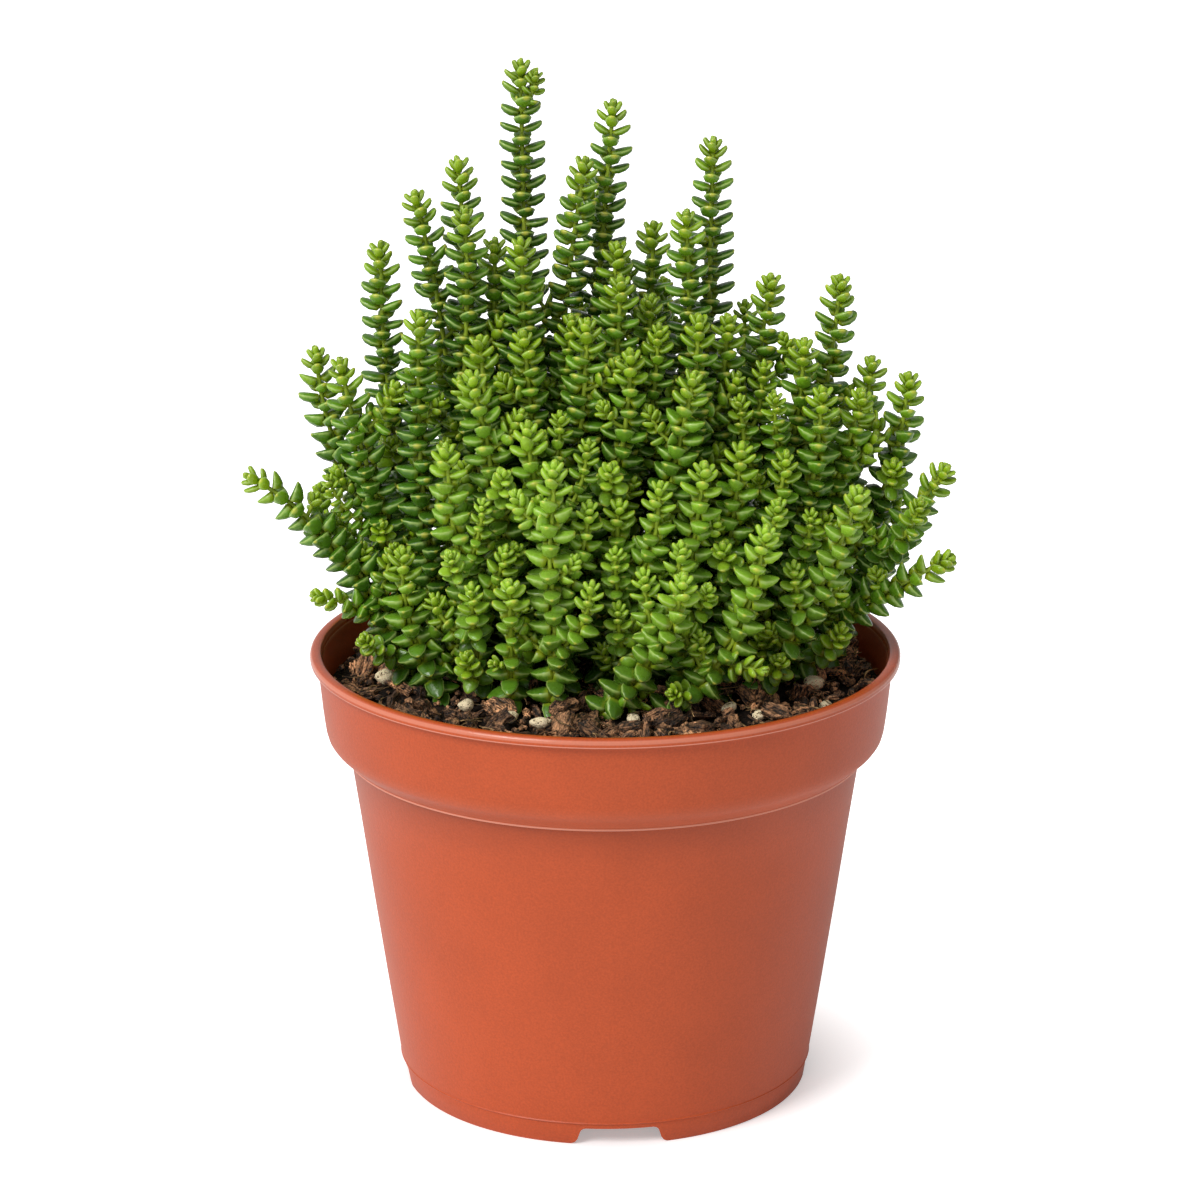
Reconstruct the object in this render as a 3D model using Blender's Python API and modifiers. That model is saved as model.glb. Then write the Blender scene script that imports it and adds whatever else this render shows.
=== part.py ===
# A potted watch chain plant: a 12 cm nursery pot, its potting mix and the clump of leafy stems in it.
# Units are metres, +Z is up, and the origin is the middle of the pot's foot on the ground.
# The camera side of the plant is -Y.

import math

import bmesh
import bpy
import numpy as np
from mathutils import Matrix, Vector

MM = 0.001

# Pot, as (radius, height) in millimetres
POT_RIM_RADIUS = 60.0
POT_HEIGHT = 92.0
POT_WALL = 1.2
LIP_THICK = 1.8
BAND_TOP = (58.5, 90.1)
BAND_FOOT = (56.9, 75.5)
SHOULDER = (52.4, 72.0)
BODY_FOOT = (42.6, 5.4)
FOOT_RADIUS = 41.3
FOOT_WIDTH = 1.7
PLATE_UNDERSIDE = 4.5
TURN_STEPS = 40
NOTCH_WIDTH = 17.5
NOTCH_HEIGHT = 3.7
NOTCH_FIRST = math.radians(-86)
NOTCH_COUNT = 4
NOTCH_CUT = 6.0
NOTCH_NARROWING = 0.93
NOTCH_ROUND = 0.8
DRAIN_RADIUS = 3.5
DRAIN_RING = 29.0
DRAIN_COUNT = 8
DRAIN_SIDES = 8
DRAIN_CUT = 8.0

# Potting mix
GAP = 0.3
SOIL_EDGE = 84.0
SOIL_MOUND = 2.6
MOUND_MIDDLE = (0.0, 9.0)
MOUND_SPREAD = (50.0, 46.0)
SOIL_RINGS = (0.0, 20.0, 35.0, 48.0)
CHIP_SEED = 11
CHIP_COUNT = 30
CHIP_SPREAD = 51.0
CHIP_LENGTH = (5.0, 10.5)
CHIP_WIDTH = (3.0, 5.0)
CHIP_THICK = (1.8, 2.8)
CHIP_BEND = 0.18
CHIP_TILT = 0.35
CHIP_RISE = 0.2
CHIP_APART = 0.8
PEBBLE_RADIUS = (1.5, 2.2)
PEBBLE_EVERY = 4
SOIL_RIPPLE = 0.35
RIPPLE_ACROSS = (0.31, 0.8)
RIPPLE_ALONG = 0.27
HOLE_RADIUS_MORE = 1.5 * GAP

# Leafy stems
ROOT_RADIUS = 1.45
ROOT_DEPTH = 8.0
ROOT_SHOW = 0.9
LEAF_REACH = 4.2
STEM_RADIUS = 1.9
RING_STEP = 4.0
LEAF_LIFT = 1.3
SMALLEST_REACH = 0.9
STEM_TO_LEAF = 0.75
SMALL_SHOOT_STEP = 0.7
HEAD_HEIGHT = 1.9
HEAD_TAPER = (0.55, 0.85)
BARE_JOINT_RINGS = 1
LEAF_TURN = 0.3
LEAF_SEED = 5

# How the stems make room for each other
ROUTE_SAMPLES = 61
POINT_STEP = 3.0
JOINT_FREE = 10.0
ROOM_BETWEEN = 0.45
NEAR_ENOUGH = 4.0
TURNS = 260
TURNS_PER_SEARCH = 10
LONGEST_PUSH = 0.8
WALL_PUSH = 0.3
LEAF_ROOM = 0.8
WALL_LIMIT = BAND_FOOT[0] - POT_WALL - 1.0
SMOOTHING = 0.2
SPRING_BACK = 0.997


def sprig(foot, tip, bow=(0.6, 0.5), sides=()):
    """A stem rooted at foot (x, y) that ends at tip; bow says how early it swings out and how high."""
    return {"foot": foot, "tip": tip, "bow": bow, "sides": sides}


def side(at, tip, bow=(0.8, 0.35), size=1.0):
    """A side shoot that leaves its stem at a fraction of the stem's length; size is its leaf size."""
    return {"at": at, "tip": tip, "bow": bow, "size": size}


# Places in millimetres, from the tall stems at the back of the view to the low ones in front
SPRIGS = (
    sprig((-15, 15), (-17, 14, 208), (0.6, 0.5), [side(0.93, (-14, 12, 207), size=0.7)]),
    sprig((-8, 14), (1.5, 13, 200), (0.55, 0.5), [side(0.8, (-3, 19, 183), size=0.8)]),
    sprig((-13, 5), (-4, 5, 190), (0.1, 0.5)),
    sprig((15, 11), (21, 10, 193), (0.8, 0.5), [side(0.25, (15.5, 4, 180), (0.5, 0.4))]),
    sprig((6, 20), (9, 16, 175), (0.5, 0.5), [side(0.7, (5, 22, 166), size=0.8)]),
    sprig((0, 6), (3, 4, 173), (0.6, 0.5)),
    sprig((3, -4), (4, -4, 168), (0.5, 0.5),
          [side(0.55, (10.5, 3, 163), size=0.8), side(0.5, (11, -6, 159), size=0.8)]),
    sprig((-23, 12), (-30, 14, 188), (0.5, 0.5), [side(0.2, (-37, 8, 183), (0.3, 0.5))]),
    sprig((-20, 1), (-26.5, 2, 181), (0.6, 0.5), [side(0.55, (-22.5, 7, 173))]),
    sprig((-12, -3), (-16, -2, 175), (0.3, 0.5), [side(0.5, (-8, -2, 160), size=0.9)]),
    sprig((-32, 13), (-45, 10, 172), (1.05, 0.5)),
    sprig((-34, -3), (-37, -4, 161), (1.5, 0.5)),
    sprig((-35, 3), (-54, -3, 151), (0.7, 0.4),
          [side(0.5, (-58, 5, 151), (0.9, 0.4)), side(0.42, (-57, -5, 127), size=0.6)]),
    sprig((-37, -3), (-69, -3, 129.5), (0.25, 0.72),
          [side(0.25, (-55, -8, 106.5), (0.5, 0.7), 0.85), side(0.12, (-46, -12, 97.5), size=0.75)]),
    sprig((-32, -12), (-40, -16, 116), (1.1, 0.5)),
    sprig((-14, -11), (-27, -14, 152), (0.4, 0.5), [side(0.45, (-23, -9, 157))]),
    sprig((-9, -8), (-18, -6, 158), (0.4, 0.5)),
    sprig((-24, -14), (-27, -19, 139), (1.1, 0.5),
          [side(0.35, (-20, -21, 118.5), size=0.8), side(0.2, (-23, -24, 112), size=0.8),
           side(0.5, (-23, -21, 128), size=0.6)]),
    sprig((-8, -13), (-12, -15, 143), (0.6, 0.5),
          [side(0.7, (-7.5, -12, 143), size=0.7), side(0.6, (-4, -16, 139), size=0.7)]),
    sprig((-10, -19), (-8, -24, 136.5), (0.9, 0.5),
          [side(0.4, (-3.5, -20, 128), size=0.8), side(0.25, (-3, -23, 113), size=0.85)]),
    sprig((-16, -18), (-14.5, -24, 114), (0.6, 0.5), [side(0.3, (-19, -23, 96.5), size=0.7)]),
    sprig((-2, -12), (-2, -10, 161), (0.5, 0.5), [side(0.5, (4, -12, 155), (0.9, 0.4))]),
    sprig((5, -15), (3, -17, 128), (0.5, 0.5),
          [side(0.45, (1, -21, 118.5), size=0.7), side(0.2, (1.5, -23, 111), size=0.75),
           side(0.5, (9, -18, 131), size=0.85)]),
    sprig((16, -5), (18, -6, 161), (0.6, 0.5)),
    sprig((10, -13), (19, -14, 151), (0.4, 0.5)),
    sprig((21, 1), (25, -2, 159), (0.6, 0.5), [side(0.6, (31, -1, 150), size=0.8)]),
    sprig((22, 11), (32, 10, 166), (0.4, 0.5), [side(0.6, (28, 14, 159), size=0.8)]),
    sprig((31, 12), (48, 8, 165.5), (0.9, 0.5)),
    sprig((27, 3), (37, -2, 155), (0.9, 0.5),
          [side(0.5, (28, -9, 146), size=0.7), side(0.55, (32.5, -10, 146), size=0.7)]),
    sprig((38, 14), (54, 8, 148), (1.0, 0.5), [side(0.3, (60, 3, 146), (0.9, 0.4))]),
    sprig((30, -3), (42.5, -8, 147), (0.9, 0.5), [side(0.4, (41, -13, 124), size=0.7)]),
    sprig((35, 5), (50, -5, 145), (0.5, 0.5)),
    sprig((42, 8), (65, 0, 130.5), (0.45, 0.65), [side(0.55, (62, -6, 124), size=0.85)]),
    sprig((37, -2), (66.5, -6, 115.5), (0.4, 0.7), [side(0.15, (46, -11, 99.5), size=0.85)]),
    sprig((27, -11), (48, -20, 130), (0.6, 0.4), [side(0.4, (36, -20, 115), size=0.8)]),
    sprig((13, -20), (32, -24, 124), (0.8, 0.25),
          [side(0.35, (31, -25, 95.5), (0.6, 0.6), 0.85), side(0.1, (13, -27, 92), size=0.7),
           side(0.3, (19, -23, 103), size=0.7)]),
    sprig((-1, -21), (12.5, -26, 117.5), (0.8, 0.3),
          [side(0.6, (15, -21, 121), size=0.8), side(0.5, (7.5, -25, 115), size=0.8)]),
    sprig((16, -15), (19.5, -18, 135), (0.5, 0.5), [side(0.3, (18.5, -22, 111), size=0.8)]),
    sprig((22, -12), (26.5, -17, 137), (0.6, 0.5),
          [side(0.4, (33, -15, 135.5), size=0.9), side(0.4, (33.5, -20, 127), size=0.8)]),
    sprig((-29, 21), (-50, 26, 132), (0.8, 0.5),
          [side(0.4, (-58, 18, 114)), side(0.25, (-42, 26, 107), size=0.85)]),
    sprig((-18, 24), (-37, 34, 147), (0.7, 0.5),
          [side(0.4, (-44, 42, 124)), side(0.25, (-30, 44, 112), size=0.85)]),
    sprig((-8, 25), (-21, 32, 158), (0.7, 0.5),
          [side(0.4, (-25, 44, 138)), side(0.25, (-15, 42, 112), size=0.85)]),
    sprig((3, 29), (-5, 36, 156), (0.6, 0.5),
          [side(0.4, (-8, 50, 134)), side(0.6, (2, 44, 148), size=0.85)]),
    sprig((14, 22), (12, 30, 160), (0.6, 0.5),
          [side(0.4, (7, 46, 141)), side(0.25, (17, 42, 114), size=0.85)]),
    sprig((25, 20), (30, 28, 148), (0.7, 0.5),
          [side(0.4, (28, 42, 130)), side(0.6, (22, 36, 146), size=0.85)]),
    sprig((32, 21), (46, 24, 136), (0.8, 0.5),
          [side(0.4, (57, 22, 114)), side(0.3, (44, 33, 116), size=0.85)]),
    sprig((-24, 33), (-36, 48, 118), (0.9, 0.5), [side(0.3, (-48, 40, 106))]),
    sprig((-12, 35), (-18, 53, 124), (0.9, 0.5), [side(0.3, (-25, 53, 106))]),
    sprig((0, 38), (-1, 55, 119), (0.9, 0.5), [side(0.3, (4, 53, 103))]),
    sprig((11, 35), (15, 53, 126), (0.9, 0.5), [side(0.3, (24, 53, 107))]),
    sprig((22, 31), (34, 47, 122), (0.9, 0.5), [side(0.3, (46, 40, 107))]),
)


def soil_height(x, y):
    """Height of the potting mix in millimetres: level at the wall, a low mound under the clump."""
    out = ((x - MOUND_MIDDLE[0]) / MOUND_SPREAD[0]) ** 2 + ((y - MOUND_MIDDLE[1]) / MOUND_SPREAD[1]) ** 2
    return SOIL_EDGE + SOIL_MOUND * max(0.0, 1.0 - out)


def resample(points, step):
    """The same route with its points a whole number of equal steps apart."""
    lengths = np.linalg.norm(np.diff(points, axis=0), axis=1)
    along = np.concatenate([[0.0], np.cumsum(lengths)])
    count = max(2, int(round(along[-1] / step)))
    even = np.linspace(0.0, along[-1], count + 1)
    return np.stack([np.interp(even, along, points[:, axis]) for axis in range(3)], axis=1)


def bowed_route(start, tip, bow):
    """A route from start to tip that swings out and then up, as (x, y, z) points."""
    start = np.array(start, float)
    tip = np.array(tip, float)
    middle = start + (tip - start) * np.array([bow[0], bow[0], bow[1]])
    t = np.linspace(0.0, 1.0, ROUTE_SAMPLES)[:, None]
    return resample(start * (1 - t) ** 2 + middle * 2 * t * (1 - t) + tip * t ** 2, POINT_STEP)


def first_routes():
    """Every shoot of the clump before its neighbours push it aside, mothers ahead of their side shoots."""
    shoots = []
    for number, stem in enumerate(SPRIGS):
        foot = (*stem["foot"], soil_height(*stem["foot"]) + ROOT_SHOW)
        mother = len(shoots)
        route = bowed_route(foot, stem["tip"], stem["bow"])
        shoots.append({"sprig": number, "mother": None, "joint": 0, "size": 1.0, "route": route})
        for twig in stem["sides"]:
            joint = int(round(twig["at"] * (len(route) - 1)))
            shoots.append({"sprig": number, "mother": mother, "joint": joint, "size": twig["size"],
                           "route": bowed_route(route[joint], twig["tip"], twig["bow"])})
    return shoots


def pairs_to_part(points, owner, along, need, shoots):
    """Pairs of points of different shoots that are near each other and aren't part of one joint."""
    away = points[:, None, :] - points[None, :, :]
    near = (away ** 2).sum(axis=2) < (need + NEAR_ENOUGH) ** 2
    near &= owner[:, None] < owner[None, :]
    first, second = np.nonzero(near)
    mother = np.array([-1 if s["mother"] is None else s["mother"] for s in shoots])
    kin = (mother[owner[second]] == owner[first]) & (along[second] < JOINT_FREE)
    twins = (mother[owner[second]] == mother[owner[first]]) & (mother[owner[first]] >= 0)
    twins &= (along[second] < JOINT_FREE) & (along[first] < JOINT_FREE)
    apart = ~(kin | twins)
    return first[apart], second[apart]


def push_apart(shoots):
    """Bends the routes until neighbouring shoots, the rim and the potting mix are clear of each other."""
    counts = [len(s["route"]) for s in shoots]
    starts = np.concatenate([[0], np.cumsum(counts)[:-1]])
    rest = np.concatenate([s["route"] for s in shoots])
    owner = np.repeat(np.arange(len(shoots)), counts)
    along = np.concatenate([np.arange(c) * POINT_STEP for c in counts])
    reach = np.array([s["size"] for s in shoots])[owner] * LEAF_REACH
    need = reach[:, None] + reach[None, :] + ROOM_BETWEEN
    before = np.maximum(np.arange(len(rest)) - 1, starts[owner])
    after = np.minimum(np.arange(len(rest)) + 1, starts[owner] + np.array(counts)[owner] - 1)
    feet = np.array([starts[i] for i, s in enumerate(shoots) if s["mother"] is None])
    twigs = [i for i, s in enumerate(shoots) if s["mother"] is not None]
    twig_roots = np.array([starts[i] for i in twigs])
    mother_points = np.array([starts[shoots[i]["mother"]] + shoots[i]["joint"] for i in twigs])
    shift = np.zeros_like(rest)
    for turn in range(TURNS):
        points = rest + shift
        if turn % TURNS_PER_SEARCH == 0:
            first, second = pairs_to_part(points, owner, along, need, shoots)
        away = points[first] - points[second]
        distance = np.maximum(np.linalg.norm(away, axis=1), 0.1)
        short = np.maximum(0.0, need[first, second] - distance)
        push = away * (0.5 * short / distance)[:, None]
        move = np.zeros_like(rest)
        np.add.at(move, first, push)
        np.add.at(move, second, -push)
        size = np.maximum(np.linalg.norm(move, axis=1), 1e-9)
        move *= np.minimum(1.0, LONGEST_PUSH / size)[:, None]
        low = points[:, 2] < POT_HEIGHT + reach
        radius = np.hypot(points[:, 0], points[:, 1])
        over = np.where(low, np.maximum(0.0, radius + reach - WALL_LIMIT), 0.0)
        move[:, :2] -= points[:, :2] * (WALL_PUSH * over / np.maximum(radius, 1.0))[:, None]
        floor = SOIL_EDGE + SOIL_MOUND + reach * LEAF_ROOM
        sunk = np.where(along > JOINT_FREE, np.maximum(0.0, floor - points[:, 2]), 0.0)
        move[:, 2] += WALL_PUSH * sunk
        shift = shift + move
        shift = (1.0 - 2.0 * SMOOTHING) * shift + SMOOTHING * (shift[before] + shift[after])
        shift[twig_roots] = shift[mother_points]
        shift[feet, 2] = 0.0
        shift *= SPRING_BACK
    points = np.round(rest + shift, 3)
    for shoot, start, count in zip(shoots, starts, counts):
        shoot["route"] = points[start:start + count]


def frames_along(route, turn):
    """Tangents and the two directions across the stem in which its leaf pairs point."""
    tangent = np.gradient(route, axis=0)
    tangent /= np.linalg.norm(tangent, axis=1)[:, None]
    sideways = np.array([math.cos(turn), math.sin(turn), 0.0])
    across = sideways - tangent * (tangent @ sideways)[:, None]
    across /= np.linalg.norm(across, axis=1)[:, None]
    return tangent, across, np.cross(tangent, across)


def nearest_other(points, others):
    """Distance from each point to the nearest point of the other sprigs."""
    gaps = points[:, None, :] - others[None, :, :]
    return np.sqrt((gaps ** 2).sum(axis=2).min(axis=1))


def leaf_reaches(centres, tangent, size, others):
    """How far the leaves of each ring reach: full size where there is room, shorter against a neighbour."""
    reach = np.full(len(centres), LEAF_REACH * size)
    reach = np.minimum(reach, 0.5 * (nearest_other(centres, others) - ROOM_BETWEEN))
    flat = np.sqrt(np.maximum(1e-6, 1.0 - tangent[:, 2] ** 2))
    ground = np.array([soil_height(x, y) for x, y, _ in centres])
    reach = np.minimum(reach, (centres[:, 2] - ground - 2 * GAP) / flat)
    return np.maximum(reach, SMALLEST_REACH)


def leafy_rings(centres, reach, size, turn, rooted):
    """Four corners for each ring of a stem, every other one drawn out to a leaf tip, alternately."""
    tangent, across, other = frames_along(centres, turn)
    last = len(centres) - 1
    bare = 0 if rooted else BARE_JOINT_RINGS
    rings = []
    for i in range(1 if rooted else 0, last + 1):
        taper = HEAD_TAPER[last - i] if last - i < len(HEAD_TAPER) else 1.0
        stem = min(STEM_RADIUS * size, STEM_TO_LEAF * reach[i])
        corners = []
        for k, out in enumerate((across[i], other[i], -across[i], -other[i])):
            if (i + k) % 2 == 0 and i > bare:
                leaf = max(reach[i] * taper, stem)
                corners.append(centres[i] + out * leaf + tangent[i] * LEAF_LIFT * size)
            else:
                corners.append(centres[i] + out * stem)
        rings.append(corners)
    return rings, centres[last] + tangent[last] * HEAD_HEIGHT * size


def root_rings(foot, turn):
    """The square root below a stem: one ring deep in the potting mix and one just above it."""
    angles = [turn + k * math.pi / 2 for k in range(4)]
    corners = [ROOT_RADIUS * np.array([math.cos(a), math.sin(a), 0.0]) for a in angles]
    deep = foot - np.array([0.0, 0.0, ROOT_DEPTH + ROOT_SHOW])
    return [[deep + c for c in corners], [foot + c for c in corners]]


def shoot_mesh(route, size, turn, others, rooted):
    """A stem with crosswise leaf pairs; each leaf is a four-sided point raised from the stem's surface."""
    centres = resample(route, RING_STEP * (SMALL_SHOOT_STEP + (1.0 - SMALL_SHOOT_STEP) * size))
    tangent = frames_along(centres, turn)[0]
    reach = leaf_reaches(centres, tangent, size, others)
    rings, head = leafy_rings(centres, reach, size, turn, rooted)
    below = root_rings(centres[0], turn) if rooted else []
    first_number = 1 - len(below) if rooted else 0

    mesh = bmesh.new()
    rows = [[mesh.verts.new(Vector(corner) * MM) for corner in ring] for ring in below + rings]
    for row, (lower, upper) in enumerate(zip(rows, rows[1:])):
        for k in range(4):
            a, b = lower[k], lower[(k + 1) % 4]
            c, d = upper[(k + 1) % 4], upper[k]
            if (first_number + row + k) % 2 == 0:
                mesh.faces.new((a, b, d))
                mesh.faces.new((b, c, d))
            else:
                mesh.faces.new((a, b, c))
                mesh.faces.new((a, c, d))
    mesh.faces.new(rows[0][::-1])
    top = mesh.verts.new(Vector(head) * MM)
    for k in range(4):
        mesh.faces.new((rows[-1][k], rows[-1][(k + 1) % 4], top))
    return mesh


def make_object(name, mesh, collection):
    """Puts a bmesh in the scene as a named object of a collection."""
    data = bpy.data.meshes.new(name)
    mesh.to_mesh(data)
    mesh.free()
    obj = bpy.data.objects.new(name, data)
    collection.objects.link(obj)
    return obj


def add_boolean(obj, operands, operation, solver="EXACT"):
    """Joins obj with all objects of a collection or cuts it by them; MANIFOLD is the quick one for many."""
    modifier = obj.modifiers.new(operation.lower(), "BOOLEAN")
    modifier.operation = operation
    modifier.solver = solver
    modifier.operand_type = "COLLECTION"
    modifier.collection = operands


def apply_modifiers(obj):
    """Replaces the object's mesh by what its modifiers make of it."""
    bpy.context.view_layer.update()
    evaluated = obj.evaluated_get(bpy.context.evaluated_depsgraph_get())
    mesh = bpy.data.meshes.new_from_object(evaluated)
    old = obj.data
    obj.modifiers.clear()
    obj.data = mesh
    bpy.data.meshes.remove(old)


def material(name, colour, roughness):
    """A Principled material with one colour."""
    made = bpy.data.materials.new(name)
    made.use_nodes = True
    shader = made.node_tree.nodes["Principled BSDF"]
    shader.inputs["Base Color"].default_value = (*colour, 1.0)
    shader.inputs["Roughness"].default_value = roughness
    made.diffuse_color = (*colour, 1.0)
    return made


def new_collection(name, parent=None, hidden=False):
    """A collection, hidden from the render where it holds cutters."""
    made = bpy.data.collections.new(name)
    (parent or bpy.context.scene.collection).children.link(made)
    made.hide_render = hidden
    return made


def as_cutter(obj):
    """Marks an object as a cutter that isn't part of the model."""
    obj.hide_render = True
    obj.display_type = "WIRE"
    return obj


def turned(name, profile, collection):
    """A turned piece: a profile at +X, in millimetres, spun round the Z axis."""
    mesh = bmesh.new()
    corners = [mesh.verts.new(Vector((r, 0.0, z)) * MM) for r, z in profile]
    for a, b in zip(corners, corners[1:]):
        mesh.edges.new((a, b))
    obj = make_object(name, mesh, collection)
    screw = obj.modifiers.new("turn", "SCREW")
    screw.axis = "Z"
    screw.angle = math.tau
    screw.steps = TURN_STEPS
    screw.render_steps = TURN_STEPS
    screw.use_merge_vertices = True
    screw.merge_threshold = 0.00001
    screw.use_normal_calculate = False
    return obj


def pot_profile():
    """The pot's section, up its inner wall, over the lip and down the outer side to the foot."""
    floor = PLATE_UNDERSIDE + POT_WALL
    inner_lip = POT_RIM_RADIUS - LIP_THICK - 0.4
    return [
        (0.0, floor),
        (BODY_FOOT[0] - POT_WALL, floor),
        (SHOULDER[0] - POT_WALL, SHOULDER[1] + POT_WALL),
        (BAND_FOOT[0] - POT_WALL, BAND_FOOT[1] + 0.8),
        (BAND_TOP[0] - POT_WALL, BAND_TOP[1]),
        (inner_lip, POT_HEIGHT - 0.5),
        (inner_lip + 0.5, POT_HEIGHT),
        (POT_RIM_RADIUS - 0.5, POT_HEIGHT),
        (POT_RIM_RADIUS, POT_HEIGHT - 0.5),
        (POT_RIM_RADIUS, POT_HEIGHT - 1.2),
        (POT_RIM_RADIUS - 0.5, POT_HEIGHT - 1.7),
        BAND_TOP,
        BAND_FOOT,
        (BAND_FOOT[0] - 0.9, BAND_FOOT[1] - 1.5),
        (SHOULDER[0] + 0.4, SHOULDER[1] + 0.6),
        SHOULDER,
        BODY_FOOT,
        (FOOT_RADIUS + 0.5, BODY_FOOT[1] - 0.6),
        (FOOT_RADIUS, 0.0),
        (FOOT_RADIUS - FOOT_WIDTH, 0.0),
        (FOOT_RADIUS - FOOT_WIDTH, PLATE_UNDERSIDE),
        (0.0, PLATE_UNDERSIDE),
    ]


def make_pot(collection, cutters):
    """The nursery pot with four notches in its foot and drain holes in its plate."""
    pot = turned("pot", pot_profile(), collection)
    pot_cutters = new_collection("pot cutters", cutters, hidden=True)
    for number in range(NOTCH_COUNT):
        angle = NOTCH_FIRST + number * math.tau / NOTCH_COUNT
        out = Vector((math.cos(angle), math.sin(angle), 0.0))
        notch = bmesh.new()
        bmesh.ops.create_cube(notch, size=1.0)
        bmesh.ops.scale(notch, vec=Vector((NOTCH_CUT, NOTCH_WIDTH, NOTCH_HEIGHT * 2)) * MM, verts=notch.verts)
        top = [v for v in notch.verts if v.co.z > 0]
        bmesh.ops.scale(notch, vec=(1.0, NOTCH_NARROWING, 1.0), verts=top)
        cutter = as_cutter(make_object(f"notch_{number + 1}", notch, pot_cutters))
        cutter.location = out * (FOOT_RADIUS - 0.5 * FOOT_WIDTH) * MM
        cutter.rotation_euler.z = angle
        bevel = cutter.modifiers.new("round", "BEVEL")
        bevel.width = NOTCH_ROUND * MM
        bevel.segments = 2
    for number in range(DRAIN_COUNT):
        angle = NOTCH_FIRST + (number + 0.5) * math.tau / DRAIN_COUNT
        hole = bmesh.new()
        bmesh.ops.create_cone(hole, cap_ends=True, segments=DRAIN_SIDES, radius1=DRAIN_RADIUS * MM,
                              radius2=DRAIN_RADIUS * MM, depth=DRAIN_CUT * MM)
        cutter = as_cutter(make_object(f"drain_{number + 1}", hole, pot_cutters))
        middle = (DRAIN_RING * math.cos(angle), DRAIN_RING * math.sin(angle), PLATE_UNDERSIDE)
        cutter.location = Vector(middle) * MM
    add_boolean(pot, pot_cutters, "DIFFERENCE")
    pot.data.materials.append(material("terracotta plastic", (0.47, 0.11, 0.05), 0.45))
    return pot


def soil_profile():
    """The potting mix from its middle out to the wall and down to the pot's plate."""
    floor = PLATE_UNDERSIDE + POT_WALL + GAP
    edge = BAND_FOOT[0] - POT_WALL - GAP
    flare = (BAND_TOP[0] - BAND_FOOT[0]) / (BAND_TOP[1] - BAND_FOOT[1])
    edge_top = edge + (SOIL_EDGE - BAND_FOOT[1]) * flare
    return [
        *[(r, SOIL_EDGE) for r in SOIL_RINGS],
        (edge_top, SOIL_EDGE),
        (edge, BAND_FOOT[1] + 1.2),
        (SHOULDER[0] - POT_WALL - GAP, SHOULDER[1] + POT_WALL),
        (BODY_FOOT[0] - POT_WALL - GAP, floor),
        (0.0, floor),
    ]


def clear_place(rng, taken, routes, radius):
    """A spot on the potting mix that is clear of the stems and of what lies there already."""
    while True:
        x, y = rng.uniform(-CHIP_SPREAD, CHIP_SPREAD, 2)
        place = np.array([x, y, soil_height(x, y)])
        if math.hypot(x, y) > CHIP_SPREAD - 0.5 * radius:
            continue
        if any(math.hypot(x - a, y - b) < CHIP_APART * (radius + c) for a, b, c in taken):
            continue
        if np.linalg.norm(routes - place, axis=1).min() < radius + LEAF_REACH + ROOM_BETWEEN:
            continue
        taken.append((x, y, radius))
        return place


def make_chips(routes, collection):
    """Bark chips as bent slabs and pebbles, sunk a third into the potting mix."""
    rng = np.random.default_rng(CHIP_SEED)
    taken = []
    for number in range(CHIP_COUNT):
        is_pebble = number % PEBBLE_EVERY == 0
        size = np.array([rng.uniform(*CHIP_LENGTH), rng.uniform(*CHIP_WIDTH), rng.uniform(*CHIP_THICK)])
        ball = rng.uniform(*PEBBLE_RADIUS)
        place = clear_place(rng, taken, routes, ball if is_pebble else 0.5 * size[0])
        mesh = bmesh.new()
        if is_pebble:
            bmesh.ops.create_icosphere(mesh, subdivisions=1, radius=ball)
            place[2] += CHIP_RISE * ball
        else:
            bmesh.ops.create_cube(mesh, size=1.0)
            bmesh.ops.scale(mesh, vec=size, verts=mesh.verts)
            for vert in mesh.verts:
                vert.co += Vector(rng.uniform(-CHIP_BEND, CHIP_BEND, 3) * size)
            place[2] += CHIP_RISE * size[2]
        spin = Matrix.Rotation(rng.uniform(0, math.tau), 4, "Z")
        tilt = Matrix.Rotation(rng.uniform(-CHIP_TILT, CHIP_TILT), 4, "Y")
        lay = Matrix.Scale(MM, 4) @ Matrix.Translation(Vector(place)) @ spin @ tilt
        bmesh.ops.transform(mesh, matrix=lay, verts=mesh.verts)
        bmesh.ops.triangulate(mesh, faces=mesh.faces)
        make_object(f"chip_{number + 1}", mesh, collection)


def make_soil(feet, routes, collection, cutters):
    """The potting mix with its chips on top and a plain hole for each rooted stem."""
    soil = turned("soil", soil_profile(), collection)
    apply_modifiers(soil)
    for vert in soil.data.vertices:
        x, y, z = vert.co / MM
        if z > SOIL_EDGE - 0.01:
            ripple = SOIL_RIPPLE * math.sin(RIPPLE_ACROSS[0] * x + RIPPLE_ACROSS[1]) * math.cos(RIPPLE_ALONG * y)
            vert.co.z = (soil_height(x, y) + ripple) * MM
    chips = new_collection("chips", cutters, hidden=True)
    make_chips(routes, chips)
    add_boolean(soil, chips, "UNION", "MANIFOLD")
    holes = new_collection("stem holes", cutters, hidden=True)
    for number, (foot, turn) in enumerate(feet):
        hole = bmesh.new()
        radius = (ROOT_RADIUS + HOLE_RADIUS_MORE) * MM
        bmesh.ops.create_cone(hole, cap_ends=True, segments=4, radius1=radius, radius2=radius,
                              depth=2 * (ROOT_DEPTH + GAP) * MM)
        cutter = as_cutter(make_object(f"stem_hole_{number + 1}", hole, holes))
        cutter.location = Vector((foot[0], foot[1], foot[2] - ROOT_SHOW)) * MM
        cutter.rotation_euler.z = turn
    add_boolean(soil, holes, "DIFFERENCE", "MANIFOLD")
    apply_modifiers(soil)
    for helper in list(chips.objects):
        bpy.data.objects.remove(helper)
    soil.data.materials.append(material("bark potting mix", (0.06, 0.03, 0.018), 0.9))
    return soil


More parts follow.
